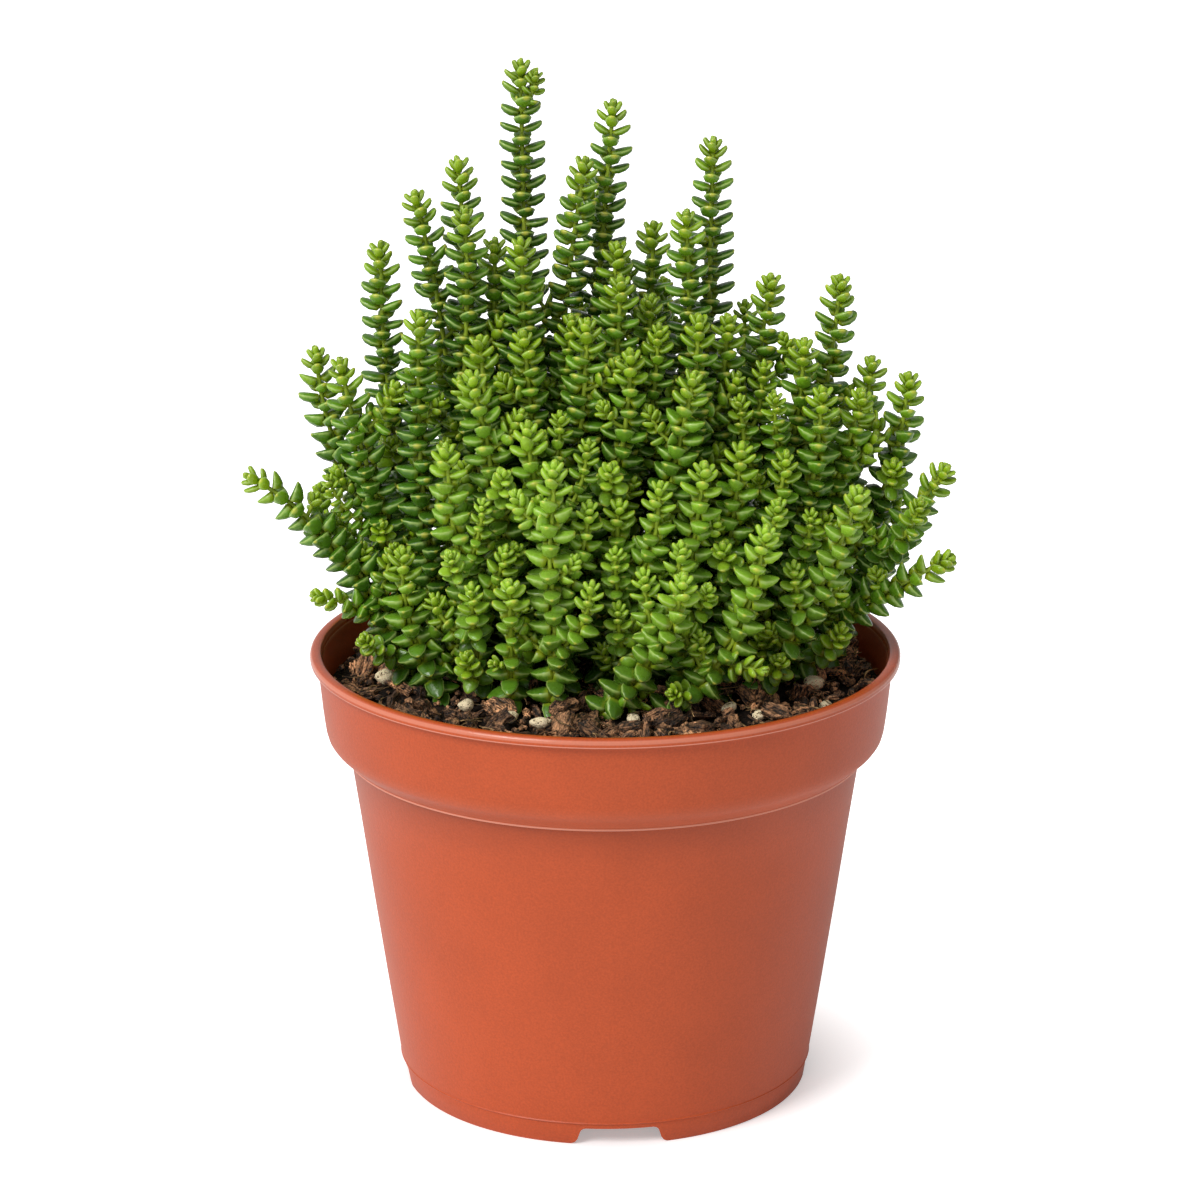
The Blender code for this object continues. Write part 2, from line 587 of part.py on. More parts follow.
def make_sprig(number, shoots, turns, others, collection, helpers):
    """One rooted leafy stem with its side shoots fused to it."""
    name = f"sprig_{number + 1:02d}"
    own = [(s, t) for s, t in zip(shoots, turns) if s["sprig"] == number]
    stem, turn = own[0]
    obj = make_object(name, shoot_mesh(stem["route"], 1.0, turn, others, True), collection)
    for index, (twig, twig_turn) in enumerate(own[1:]):
        mesh = shoot_mesh(twig["route"], twig["size"], twig_turn, others, False)
        make_object(f"{name}_twig_{index + 1}", mesh, helpers)
    if len(own) > 1:
        add_boolean(obj, helpers, "UNION", "MANIFOLD")
        apply_modifiers(obj)
        for helper in list(helpers.objects):
            bpy.data.objects.remove(helper)
    return obj


def main():
    for obj in list(bpy.data.objects):
        bpy.data.objects.remove(obj)
    plant = new_collection("potted watch chain plant")
    cutters = new_collection("cutters", hidden=True)
    make_pot(plant, cutters)

    shoots = first_routes()
    push_apart(shoots)
    rng = np.random.default_rng(LEAF_SEED)
    turns = rng.uniform(-LEAF_TURN, LEAF_TURN, len(shoots))
    fine = [resample(s["route"], 1.0) for s in shoots]
    everywhere = np.concatenate(fine)
    belongs = np.concatenate([np.full(len(f), s["sprig"]) for f, s in zip(fine, shoots)])

    leaf_green = material("succulent leaf green", (0.09, 0.24, 0.03), 0.35)
    helpers = new_collection("twigs", cutters, hidden=True)
    feet = []
    for number in range(len(SPRIGS)):
        others = everywhere[belongs != number]
        obj = make_sprig(number, shoots, turns, others, plant, helpers)
        obj.data.materials.clear()
        obj.data.materials.append(leaf_green)
        root = next(i for i, s in enumerate(shoots) if s["sprig"] == number)
        feet.append((shoots[root]["route"][0], turns[root]))
    make_soil(feet, everywhere, plant, cutters)


main()
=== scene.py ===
import math

import bpy
import numpy as np
from mathutils import Matrix, Vector


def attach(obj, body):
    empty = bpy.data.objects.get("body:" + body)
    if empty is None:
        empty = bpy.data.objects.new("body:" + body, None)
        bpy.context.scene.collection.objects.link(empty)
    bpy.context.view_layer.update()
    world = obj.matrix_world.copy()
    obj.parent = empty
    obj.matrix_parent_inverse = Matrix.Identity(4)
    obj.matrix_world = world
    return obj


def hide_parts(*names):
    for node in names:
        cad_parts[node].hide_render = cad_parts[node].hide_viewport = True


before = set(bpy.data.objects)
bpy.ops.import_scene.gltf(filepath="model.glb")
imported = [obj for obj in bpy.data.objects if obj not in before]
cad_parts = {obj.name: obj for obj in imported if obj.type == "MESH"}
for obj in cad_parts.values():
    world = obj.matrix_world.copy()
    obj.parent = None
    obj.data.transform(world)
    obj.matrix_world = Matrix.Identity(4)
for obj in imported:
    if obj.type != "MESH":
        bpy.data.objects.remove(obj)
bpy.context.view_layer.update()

# A potted watch chain plant: fine leaves, stems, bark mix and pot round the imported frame.
# Shapes are planned in millimetres and put in the scene in metres; the camera side is -Y.
mm = 0.001


# Camera
camera = {
    "place": (-0.00106, -0.8833, 0.3730),
    "pitch": 17.08,
    "lens": 136.7,
    "sensor": 36.0,
}


def addCamera(plan):
    bpy.ops.object.camera_add(location=plan["place"], rotation=(math.radians(90 - plan["pitch"]), 0, 0))
    made = bpy.context.object
    made.name = "camera"
    made.data.lens = plan["lens"]
    made.data.sensor_width = plan["sensor"]
    bpy.context.scene.camera = made


addCamera(camera)
print("camera placed")


# Modelling helpers
def selectNone():
    bpy.ops.object.select_all(action="DESELECT")


def selectOnly(piece):
    selectNone()
    piece.select_set(True)
    bpy.context.view_layer.objects.active = piece


def startPiece(name):
    piece = bpy.context.object  # the primitive that was just added
    piece.name = name
    piece.data.name = name
    selectOnly(piece)
    return piece


def applyPlace():
    bpy.ops.object.transform_apply(location=True, rotation=True, scale=True)


def editAll():
    bpy.ops.object.mode_set(mode="EDIT")
    bpy.ops.mesh.select_all(action="SELECT")


def pickVerts(piece, rule):
    # leaves the piece in edit mode with just the vertices selected that the rule wants
    if piece.mode != "EDIT":
        bpy.ops.object.mode_set(mode="EDIT")
    bpy.ops.mesh.select_mode(type="VERT")
    bpy.ops.mesh.select_all(action="DESELECT")
    bpy.ops.object.mode_set(mode="OBJECT")
    for vert in piece.data.vertices:
        vert.select = bool(rule(vert))
    bpy.ops.object.mode_set(mode="EDIT")


def scaleVerts(piece, rule, scale, centre=(0, 0, 0)):
    pickVerts(piece, rule)
    bpy.ops.transform.resize(value=scale, center_override=centre)


def closeShape(piece):
    # merges doubles, points every face outwards and leaves edit mode
    bpy.ops.mesh.select_all(action="SELECT")
    bpy.ops.mesh.remove_doubles(threshold=1e-6)
    bpy.ops.mesh.normals_make_consistent(inside=False)
    bpy.ops.object.mode_set(mode="OBJECT")


def takeTemplate(piece):
    # reads a small modelled shape as corner places and triangles, and clears it away
    selectOnly(piece)
    editAll()
    bpy.ops.mesh.quads_convert_to_tris()
    bpy.ops.object.mode_set(mode="OBJECT")
    corners = np.array([v.co for v in piece.data.vertices], float)
    faces = np.array([f.vertices for f in piece.data.polygons], int)
    bpy.data.objects.remove(piece)
    return {"corners": corners, "faces": faces}


# Node helpers
def newFinish(name, roughness, specular):
    finish = bpy.data.materials.new(name)
    finish.use_nodes = True
    shader = finish.node_tree.nodes["Principled BSDF"]
    shader.inputs["Roughness"].default_value = roughness
    shader.inputs["Specular IOR Level"].default_value = specular
    return finish, finish.node_tree, shader


def addNode(tree, kind, inputs=(), **settings):
    node = tree.nodes.new(kind)
    for label, value in settings.items():
        setattr(node, label, value)
    for label, value in dict(inputs).items():
        socket = node.inputs[label]
        if isinstance(value, bpy.types.NodeSocket):
            tree.links.new(value, socket)
        else:
            socket.default_value = value
    return node


def mixColour(tree, factor, first, second, blend="MIX"):
    node = addNode(tree, "ShaderNodeMix", data_type="RGBA", blend_type=blend)
    for socket, value in zip((node.inputs[0], node.inputs[6], node.inputs[7]), (factor, first, second)):
        if isinstance(value, bpy.types.NodeSocket):
            tree.links.new(value, socket)
        elif isinstance(value, tuple):
            socket.default_value = (*value, 1.0)
        else:
            socket.default_value = value
    return node.outputs[2]


def ramp(tree, factor, stops):
    node = addNode(tree, "ShaderNodeValToRGB", {"Fac": factor})
    band = node.color_ramp
    while len(band.elements) < len(stops):
        band.elements.new(0.5)
    for element, (place, colour) in zip(band.elements, stops):
        element.position = place
        element.color = (*colour, 1.0) if isinstance(colour, tuple) else (colour, colour, colour, 1.0)
    return node.outputs["Color"]


def tinted(tree, colour, shade):
    return mixColour(tree, 1.0, colour, shade, "MULTIPLY")


def mapRange(tree, value, source, target):
    node = addNode(tree, "ShaderNodeMapRange", {"Value": value, "From Min": source[0], "From Max": source[1],
                                                "To Min": target[0], "To Max": target[1]})
    return node.outputs["Result"]


def paintedValue(tree, label):
    return addNode(tree, "ShaderNodeAttribute", attribute_name=label).outputs["Fac"]


def relief(tree, shader, height, depth, strength=1.0):
    bump = addNode(tree, "ShaderNodeBump", {"Height": height, "Distance": depth, "Strength": strength})
    tree.links.new(bump.outputs["Normal"], shader.inputs["Normal"])


def makeMottle():
    # broad and fine noise together, for every finish with natural unevenness
    group = bpy.data.node_groups.new("mottle", "ShaderNodeTree")
    group.interface.new_socket(name="Place", in_out="INPUT", socket_type="NodeSocketVector")
    for label in ("Size", "Fine", "Share"):
        group.interface.new_socket(name=label, in_out="INPUT", socket_type="NodeSocketFloat")
    for label in ("Broad", "Mixed"):
        group.interface.new_socket(name=label, in_out="OUTPUT", socket_type="NodeSocketFloat")
    given = addNode(group, "NodeGroupInput").outputs
    fineSize = addNode(group, "ShaderNodeMath", {0: given["Size"], 1: given["Fine"]}, operation="MULTIPLY")
    broad = addNode(group, "ShaderNodeTexNoise",
                    {"Vector": given["Place"], "Scale": given["Size"], "Detail": 3.0})
    fine = addNode(group, "ShaderNodeTexNoise",
                   {"Vector": given["Place"], "Scale": fineSize.outputs[0], "Detail": 2.0})
    both = addNode(group, "ShaderNodeMix", {0: given["Share"], 2: broad.outputs[0], 3: fine.outputs[0]})
    result = addNode(group, "NodeGroupOutput")
    group.links.new(broad.outputs[0], result.inputs["Broad"])
    group.links.new(both.outputs[0], result.inputs["Mixed"])
    return group


mottleGroup = makeMottle()


def mottle(tree, place, size, fine=6.0, share=0.4):
    node = addNode(tree, "ShaderNodeGroup", node_tree=mottleGroup)
    tree.links.new(place, node.inputs["Place"])
    for label, value in (("Size", size), ("Fine", fine), ("Share", share)):
        node.inputs[label].default_value = value
    return node.outputs


def onPiece(tree):
    return addNode(tree, "ShaderNodeTexCoord").outputs["Object"]


# Pot
pot = {
    "segments": 144,
    "height": 92.0,
    "plate": 4.5,
    "notchFirst": -86.0,
    "notchCut": 6.0,
    "notchRing": 40.5,
    "notchRound": 0.9,
    # height and width of the notch, from below the ground to its top
    "notchShape": ((-3.7, 22.0), (0.0, 19.6), (0.45, 17.9), (1.2, 16.9), (3.7, 15.4)),
    "drainRadius": 3.5,
    "drainRing": 29.0,
    "drains": 8,
    # the mould's parting line, in front and behind: how far it stands out, at what middle radius,
    # outside what radius and between what heights
    "ridge": {"angle": -87.0, "out": 0.1, "radius": 47.0, "beyond": 42.0, "heights": (5.3, 71.0)},
    "colour": (0.48, 0.075, 0.018),
    # colours of the painted highlights and the painted shadow
    "paintedHighlight": (0.78, 0.33, 0.23),
    "shade": (0.20, 0.032, 0.009),
    # painted light round the pot, each line a painted highlight or a painted shadow: the height where each
    # starts, is full from and to, and ends, and its strength
    "paintedLightLines": (("shade", (63.0, 70.9, 71.05, 71.15), 0.32), ("paintedHighlight", (71.05, 71.15, 71.5, 71.6), 0.75),
              ("paintedHighlight", (71.4, 71.8, 73.6, 77.0), 0.10), ("paintedHighlight", (90.05, 90.15, 90.4, 90.5), 0.75),
              ("paintedHighlight", (90.8, 91.1, 91.6, 91.8), 0.45)),
    "roughness": 0.42,
    "lipRoughness": 0.18,
    "lipFrom": (89.7, 90.3),
}
# radius and height of each ring, from under the plate out over the lip and down the inner wall
potRings = [
    (39.6, 4.5), (39.6, 0.3), (39.85, 0.0), (41.35, 0.0), (41.6, 0.3), (42.25, 4.6), (42.5, 4.72),
    (42.62, 4.9), (42.5, 5.1), (42.6, 5.6), (45.1, 22.0), (47.6, 39.0), (50.0, 56.0), (52.2, 70.85),
    (52.35, 71.05), (53.3, 71.1), (53.5, 71.2), (53.55, 71.35), (53.5, 71.5), (53.55, 71.75), (54.3, 72.4),
    (55.2, 73.2), (56.1, 74.0), (56.65, 74.8), (56.95, 75.9), (57.2, 77.6), (57.5, 80.0), (58.1, 86.0),
    (58.4, 89.2),
    (58.5, 89.75), (58.8, 90.1), (59.75, 90.15), (59.95, 90.3), (60.0, 90.6), (60.0, 91.05), (59.9, 91.42),
    (59.68, 91.7), (59.38, 91.9), (59.0, 92.0), (58.5, 92.0), (58.1, 91.92), (57.85, 91.75), (57.7, 91.4),
    (57.3, 90.1), (56.4, 82.0), (55.9, 78.6), (55.6, 76.6), (55.0, 75.4), (53.9, 74.5), (52.6, 73.75),
    (51.5, 73.1), (51.15, 72.2), (46.4, 39.0), (41.4, 5.9),
]


def extrudeRings(rings, start):
    # carries the selected ring on through each (radius, height) of the list
    radius, height = start
    for nextRadius, nextHeight in rings:
        bpy.ops.mesh.extrude_edges_move(TRANSFORM_OT_translate={"value": (0, 0, (nextHeight - height) * mm)})
        share = nextRadius / radius
        bpy.ops.transform.resize(value=(share, share, 1), center_override=(0, 0, nextHeight * mm))
        radius, height = nextRadius, nextHeight


def cutWith(piece, cutters):
    # cuts the piece by each cutter in turn and clears the cutters away
    for cutter in cutters:
        selectOnly(piece)
        cut = piece.modifiers.new("cut", "BOOLEAN")
        cut.operation = "DIFFERENCE"
        cut.solver = "EXACT"
        cut.object = cutter
        bpy.ops.object.modifier_apply(modifier=cut.name)
        bpy.data.objects.remove(cutter)


def modelPot(plan):
    selectNone()
    bpy.ops.mesh.primitive_circle_add(vertices=plan["segments"], radius=potRings[0][0] * mm,
                                      location=(0, 0, plan["plate"] * mm), fill_type="NGON")
    piece = startPiece("nurseryPot")
    applyPlace()
    editAll()
    bpy.ops.mesh.select_mode(type="EDGE")
    extrudeRings(potRings[1:], potRings[0])
    bpy.ops.mesh.edge_face_add()  # the floor inside
    closeShape(piece)
    ridge = plan["ridge"]
    low, high = ridge["heights"]
    share = 1 + ridge["out"] / ridge["radius"]
    for angle in (math.radians(ridge["angle"]), math.radians(ridge["angle"]) + math.pi):
        def onRidge(v):
            turn = math.remainder(math.atan2(v.co.y, v.co.x) - angle, math.tau)
            return (v.co.xy.length > ridge["beyond"] * mm and low * mm < v.co.z < high * mm
                    and abs(turn) < math.pi / plan["segments"])

        scaleVerts(piece, onRidge, (share, share, 1))
        bpy.ops.object.mode_set(mode="OBJECT")
    cutters = []
    for number in range(4):
        angle = math.radians(plan["notchFirst"] + 90 * number)
        selectNone()
        bpy.ops.mesh.primitive_cube_add(size=1)
        cutter = startPiece("notchCutter")
        low, high = plan["notchShape"][0][0], plan["notchShape"][-1][0]
        cutter.scale = Vector((plan["notchCut"], 1.0, high - low)) * mm
        cutter.location.z = 0.5 * (low + high) * mm
        applyPlace()
        bpy.ops.object.mode_set(mode="EDIT")
        for height, _ in plan["notchShape"][1:-1]:
            bpy.ops.mesh.select_all(action="SELECT")
            bpy.ops.mesh.bisect(plane_co=(0, 0, height * mm), plane_no=(0, 0, 1))
        for height, width in plan["notchShape"]:
            scaleVerts(cutter, lambda v: abs(v.co.z - height * mm) < 1e-5, (1, width, 1))
        bpy.ops.object.mode_set(mode="OBJECT")
        cutter.location = Vector((math.cos(angle), math.sin(angle), 0)) * plan["notchRing"] * mm
        cutter.rotation_euler.z = angle
        applyPlace()
        rounded = cutter.modifiers.new("round", "BEVEL")
        rounded.width = plan["notchRound"] * mm
        rounded.segments = 3
        rounded.angle_limit = math.radians(60)
        bpy.ops.object.modifier_apply(modifier=rounded.name)
        cutters.append(cutter)
    for number in range(plan["drains"]):
        angle = math.radians(plan["notchFirst"]) + (number + 0.5) * math.tau / plan["drains"]
        selectNone()
        bpy.ops.mesh.primitive_cylinder_add(
            vertices=32, radius=plan["drainRadius"] * mm, depth=8 * mm,
            location=(plan["drainRing"] * math.cos(angle) * mm, plan["drainRing"] * math.sin(angle) * mm,
                      plan["plate"] * mm))
        cutter = startPiece("drainCutter")
        applyPlace()
        cutters.append(cutter)
    cutWith(piece, cutters)
    selectOnly(piece)
    bpy.ops.object.shade_smooth_by_angle(angle=math.radians(32))
    return piece


def potFinish(plan):
    finish, tree, shader = newFinish("terracottaPlastic", plan["roughness"], 0.35)
    place = onPiece(tree)
    noise = mottle(tree, place, 60.0, 40.0, 0.65)
    warm = tuple(c * 1.1 for c in plan["colour"])
    dull = tuple(c * 0.9 for c in plan["colour"])
    colour = ramp(tree, noise["Mixed"], ((0.36, dull), (0.5, plan["colour"]), (0.64, warm)))
    height = addNode(tree, "ShaderNodeSeparateXYZ", {"Vector": place}).outputs["Z"]
    # painted highlights on the ridge at the band's foot, the band's underside and the two beads of the lip,
    # and a painted shadow just under the ridge
    for tint, (start, fullFrom, fullTo, end), strength in plan["paintedLightLines"]:
        spread = mapRange(tree, height, (start * mm, end * mm), (0.0, 1.0))
        shares = [(z - start) / (end - start) for z in (fullFrom, fullTo)]
        line = ramp(tree, spread, ((0.0, 0.0), (shares[0], strength), (shares[1], strength), (1.0, 0.0)))
        colour = mixColour(tree, line, colour, plan[tint])
    tree.links.new(colour, shader.inputs["Base Color"])
    # the lip is smoother than the grained wall
    lip = [z * mm for z in plan["lipFrom"]]
    smooth = mapRange(tree, height, lip, (plan["roughness"], plan["lipRoughness"]))
    tree.links.new(smooth, shader.inputs["Roughness"])
    skin = mottle(tree, place, 900.0, 3.0, 0.5)
    relief(tree, shader, skin["Mixed"], 0.00015, 0.4)
    return finish


nurseryPot = modelPot(pot)
nurseryPot.data.materials.clear()
nurseryPot.data.materials.append(potFinish(pot))
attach(nurseryPot, "root")
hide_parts("pot")
print("pot modelled:", len(nurseryPot.data.polygons), "faces")


# Potting mix, whose surface the stems start from
mix = {
    "edgeHeight": 84.0,
    "mound": 2.6,
    "moundMiddle": (0.0, 9.0),
    "moundSpread": (50.0, 46.0),
}


def mixHeight(x, y):
    out = ((x - mix["moundMiddle"][0]) / mix["moundSpread"][0]) ** 2
    out = out + ((y - mix["moundMiddle"][1]) / mix["moundSpread"][1]) ** 2
    return mix["edgeHeight"] + mix["mound"] * np.maximum(0.0, 1.0 - out)


# Stems of the clump: where each is rooted and ends, how it swings out, and its side shoots
def stem(foot, tip, bow, sides=()):
    return {"foot": foot, "tip": tip, "bow": bow, "sides": sides}


def twig(at, tip, bow=(0.8, 0.35), size=1.0):
    return {"at": at, "tip": tip, "bow": bow, "size": size}


stemTable = (
    stem((-15, 15), (-17, 14, 208), (0.6, 0.5), [twig(0.93, (-14, 12, 207), size=0.7)]),
    stem((-8, 14), (1.5, 13, 200), (0.55, 0.5), [twig(0.8, (-3, 19, 183), size=0.8)]),
    stem((-13, 5), (-4, 5, 190), (0.1, 0.5)),
    stem((15, 11), (21, 10, 193), (0.8, 0.5), [twig(0.25, (15.5, 4, 180), (0.5, 0.4))]),
    stem((6, 20), (9, 16, 175), (0.5, 0.5), [twig(0.7, (5, 22, 166), size=0.8)]),
    stem((0, 6), (3, 4, 173), (0.6, 0.5)),
    stem((3, -4), (4, -4, 168), (0.5, 0.5),
          [twig(0.55, (10.5, 3, 163), size=0.8), twig(0.5, (11, -6, 159), size=0.8)]),
    stem((-23, 12), (-30, 14, 188), (0.5, 0.5), [twig(0.2, (-37, 8, 183), (0.3, 0.5))]),
    stem((-20, 1), (-26.5, 2, 181), (0.6, 0.5), [twig(0.55, (-22.5, 7, 173))]),
    stem((-12, -3), (-16, -2, 175), (0.3, 0.5), [twig(0.5, (-8, -2, 160), size=0.9)]),
    stem((-32, 13), (-45, 10, 172), (1.05, 0.5)),
    stem((-34, -3), (-37, -4, 161), (1.5, 0.5)),
    stem((-35, 3), (-54, -3, 151), (0.7, 0.4),
          [twig(0.5, (-58, 5, 151), (0.9, 0.4)), twig(0.42, (-57, -5, 127), size=0.6)]),
    stem((-37, -3), (-69, -3, 129.5), (0.25, 0.72),
          [twig(0.25, (-55, -8, 106.5), (0.5, 0.7), 0.85), twig(0.12, (-46, -12, 97.5), size=0.75)]),
    stem((-32, -12), (-40, -16, 116), (1.1, 0.5)),
    stem((-14, -11), (-27, -14, 152), (0.4, 0.5), [twig(0.45, (-23, -9, 157))]),
    stem((-9, -8), (-18, -6, 158), (0.4, 0.5)),
    stem((-24, -14), (-27, -19, 139), (1.1, 0.5),
          [twig(0.35, (-20, -21, 118.5), size=0.8), twig(0.2, (-23, -24, 112), size=0.8),
           twig(0.5, (-23, -21, 128), size=0.6)]),
    stem((-8, -13), (-12, -15, 143), (0.6, 0.5),
          [twig(0.7, (-7.5, -12, 143), size=0.7), twig(0.6, (-4, -16, 139), size=0.7)]),
    stem((-10, -19), (-8, -24, 136.5), (0.9, 0.5),
          [twig(0.4, (-3.5, -20, 128), size=0.8), twig(0.25, (-3, -23, 113), size=0.85)]),
    stem((-16, -18), (-14.5, -24, 114), (0.6, 0.5), [twig(0.3, (-19, -23, 96.5), size=0.7)]),
    stem((-2, -12), (-2, -10, 161), (0.5, 0.5), [twig(0.5, (4, -12, 155), (0.9, 0.4))]),
    stem((5, -15), (3, -17, 128), (0.5, 0.5),
          [twig(0.45, (1, -21, 118.5), size=0.7), twig(0.2, (1.5, -23, 111), size=0.75),
           twig(0.5, (9, -18, 131), size=0.85)]),
    stem((16, -5), (18, -6, 161), (0.6, 0.5)),
    stem((10, -13), (19, -14, 151), (0.4, 0.5)),
    stem((21, 1), (25, -2, 159), (0.6, 0.5), [twig(0.6, (31, -1, 150), size=0.8)]),
    stem((22, 11), (32, 10, 166), (0.4, 0.5), [twig(0.6, (28, 14, 159), size=0.8)]),
    stem((31, 12), (48, 8, 165.5), (0.9, 0.5)),
    stem((27, 3), (37, -2, 155), (0.9, 0.5),
          [twig(0.5, (28, -9, 146), size=0.7), twig(0.55, (32.5, -10, 146), size=0.7)]),
    stem((38, 14), (54, 8, 148), (1.0, 0.5), [twig(0.3, (60, 3, 146), (0.9, 0.4))]),
    stem((30, -3), (42.5, -8, 147), (0.9, 0.5), [twig(0.4, (41, -13, 124), size=0.7)]),
    stem((35, 5), (50, -5, 145), (0.5, 0.5)),
    stem((42, 8), (65, 0, 130.5), (0.45, 0.65), [twig(0.55, (62, -6, 124), size=0.85)]),
    stem((37, -2), (66.5, -6, 115.5), (0.4, 0.7), [twig(0.15, (46, -11, 99.5), size=0.85)]),
    stem((27, -11), (48, -20, 130), (0.6, 0.4), [twig(0.4, (36, -20, 115), size=0.8)]),
    stem((13, -20), (32, -24, 124), (0.8, 0.25),
          [twig(0.35, (31, -25, 95.5), (0.6, 0.6), 0.85), twig(0.1, (13, -27, 92), size=0.7),
           twig(0.3, (19, -23, 103), size=0.7)]),
    stem((-1, -21), (12.5, -26, 117.5), (0.8, 0.3),
          [twig(0.6, (15, -21, 121), size=0.8), twig(0.5, (7.5, -25, 115), size=0.8)]),
    stem((16, -15), (19.5, -18, 135), (0.5, 0.5), [twig(0.3, (18.5, -22, 111), size=0.8)]),
    stem((22, -12), (26.5, -17, 137), (0.6, 0.5),
          [twig(0.4, (33, -15, 135.5), size=0.9), twig(0.4, (33.5, -20, 127), size=0.8)]),
    stem((-29, 21), (-50, 26, 132), (0.8, 0.5),
          [twig(0.4, (-58, 18, 114)), twig(0.25, (-42, 26, 107), size=0.85)]),
    stem((-18, 24), (-37, 34, 147), (0.7, 0.5),
          [twig(0.4, (-44, 42, 124)), twig(0.25, (-30, 44, 112), size=0.85)]),
    stem((-8, 25), (-21, 32, 158), (0.7, 0.5),
          [twig(0.4, (-25, 44, 138)), twig(0.25, (-15, 42, 112), size=0.85)]),
    stem((3, 29), (-5, 36, 156), (0.6, 0.5),
          [twig(0.4, (-8, 50, 134)), twig(0.6, (2, 44, 148), size=0.85)]),
    stem((14, 22), (12, 30, 160), (0.6, 0.5),
          [twig(0.4, (7, 46, 141)), twig(0.25, (17, 42, 114), size=0.85)]),
    stem((25, 20), (30, 28, 148), (0.7, 0.5),
          [twig(0.4, (28, 42, 130)), twig(0.6, (22, 36, 146), size=0.85)]),
    stem((32, 21), (46, 24, 136), (0.8, 0.5),
          [twig(0.4, (57, 22, 114)), twig(0.3, (44, 33, 116), size=0.85)]),
    stem((-24, 33), (-36, 48, 118), (0.9, 0.5), [twig(0.3, (-48, 40, 106))]),
    stem((-12, 35), (-18, 53, 124), (0.9, 0.5), [twig(0.3, (-25, 53, 106))]),
    stem((0, 38), (-1, 55, 119), (0.9, 0.5), [twig(0.3, (4, 53, 103))]),
    stem((11, 35), (15, 53, 126), (0.9, 0.5), [twig(0.3, (24, 53, 107))]),
    stem((22, 31), (34, 47, 122), (0.9, 0.5), [twig(0.3, (46, 40, 107))]),
)

routing = {
    "step": 3.0,
    "samples": 61,
    "rootShow": 0.9,
    "leafReach": 4.2,
    "jointFree": 10.0,
    "room": 0.45,
    "near": 4.0,
    "turns": 260,
    "turnsPerSearch": 10,
    "longestPush": 0.8,
    "wallPush": 0.3,
    "leafRoom": 0.8,
    "wallLimit": 54.7,
    "smoothing": 0.2,
    "springBack": 0.997,
    "fineStep": 0.5,
    "fineTurns": 6,
    "turnSpread": 0.3,
}


def resample(points, step):
    lengths = np.linalg.norm(np.diff(points, axis=0), axis=1)
    along = np.concatenate([[0.0], np.cumsum(lengths)])
    count = max(2, int(round(along[-1] / step)))
    even = np.linspace(0.0, along[-1], count + 1)
    return np.stack([np.interp(even, along, points[:, axis]) for axis in range(3)], axis=1)


def bowedRoute(start, tip, bow):
    start = np.array(start, float)
    tip = np.array(tip, float)
    middle = start + (tip - start) * np.array([bow[0], bow[0], bow[1]])
    t = np.linspace(0.0, 1.0, routing["samples"])[:, None]
    return resample(start * (1 - t) ** 2 + middle * 2 * t * (1 - t) + tip * t ** 2, routing["step"])


def firstRoutes():
    shoots = []
    for number, row in enumerate(stemTable):
        foot = (*row["foot"], float(mixHeight(*row["foot"])) + routing["rootShow"])
        mother = len(shoots)
        route = bowedRoute(foot, row["tip"], row["bow"])
        shoots.append({"stem": number, "mother": None, "joint": 0, "size": 1.0, "route": route})
        for branch in row["sides"]:
            joint = int(round(branch["at"] * (len(route) - 1)))
            shoots.append({"stem": number, "mother": mother, "joint": joint, "size": branch["size"],
                           "route": bowedRoute(route[joint], branch["tip"], branch["bow"])})
    return shoots


def closePairs(points, owner, along, need, shoots):
    away = points[:, None, :] - points[None, :, :]
    near = (away ** 2).sum(axis=2) < (need + routing["near"]) ** 2
    near &= owner[:, None] < owner[None, :]
    first, second = np.nonzero(near)
    mother = np.array([-1 if s["mother"] is None else s["mother"] for s in shoots])
    kin = (mother[owner[second]] == owner[first]) & (along[second] < routing["jointFree"])
    twins = (mother[owner[second]] == mother[owner[first]]) & (mother[owner[first]] >= 0)
    twins &= (along[second] < routing["jointFree"]) & (along[first] < routing["jointFree"])
    apart = ~(kin | twins)
    return first[apart], second[apart]


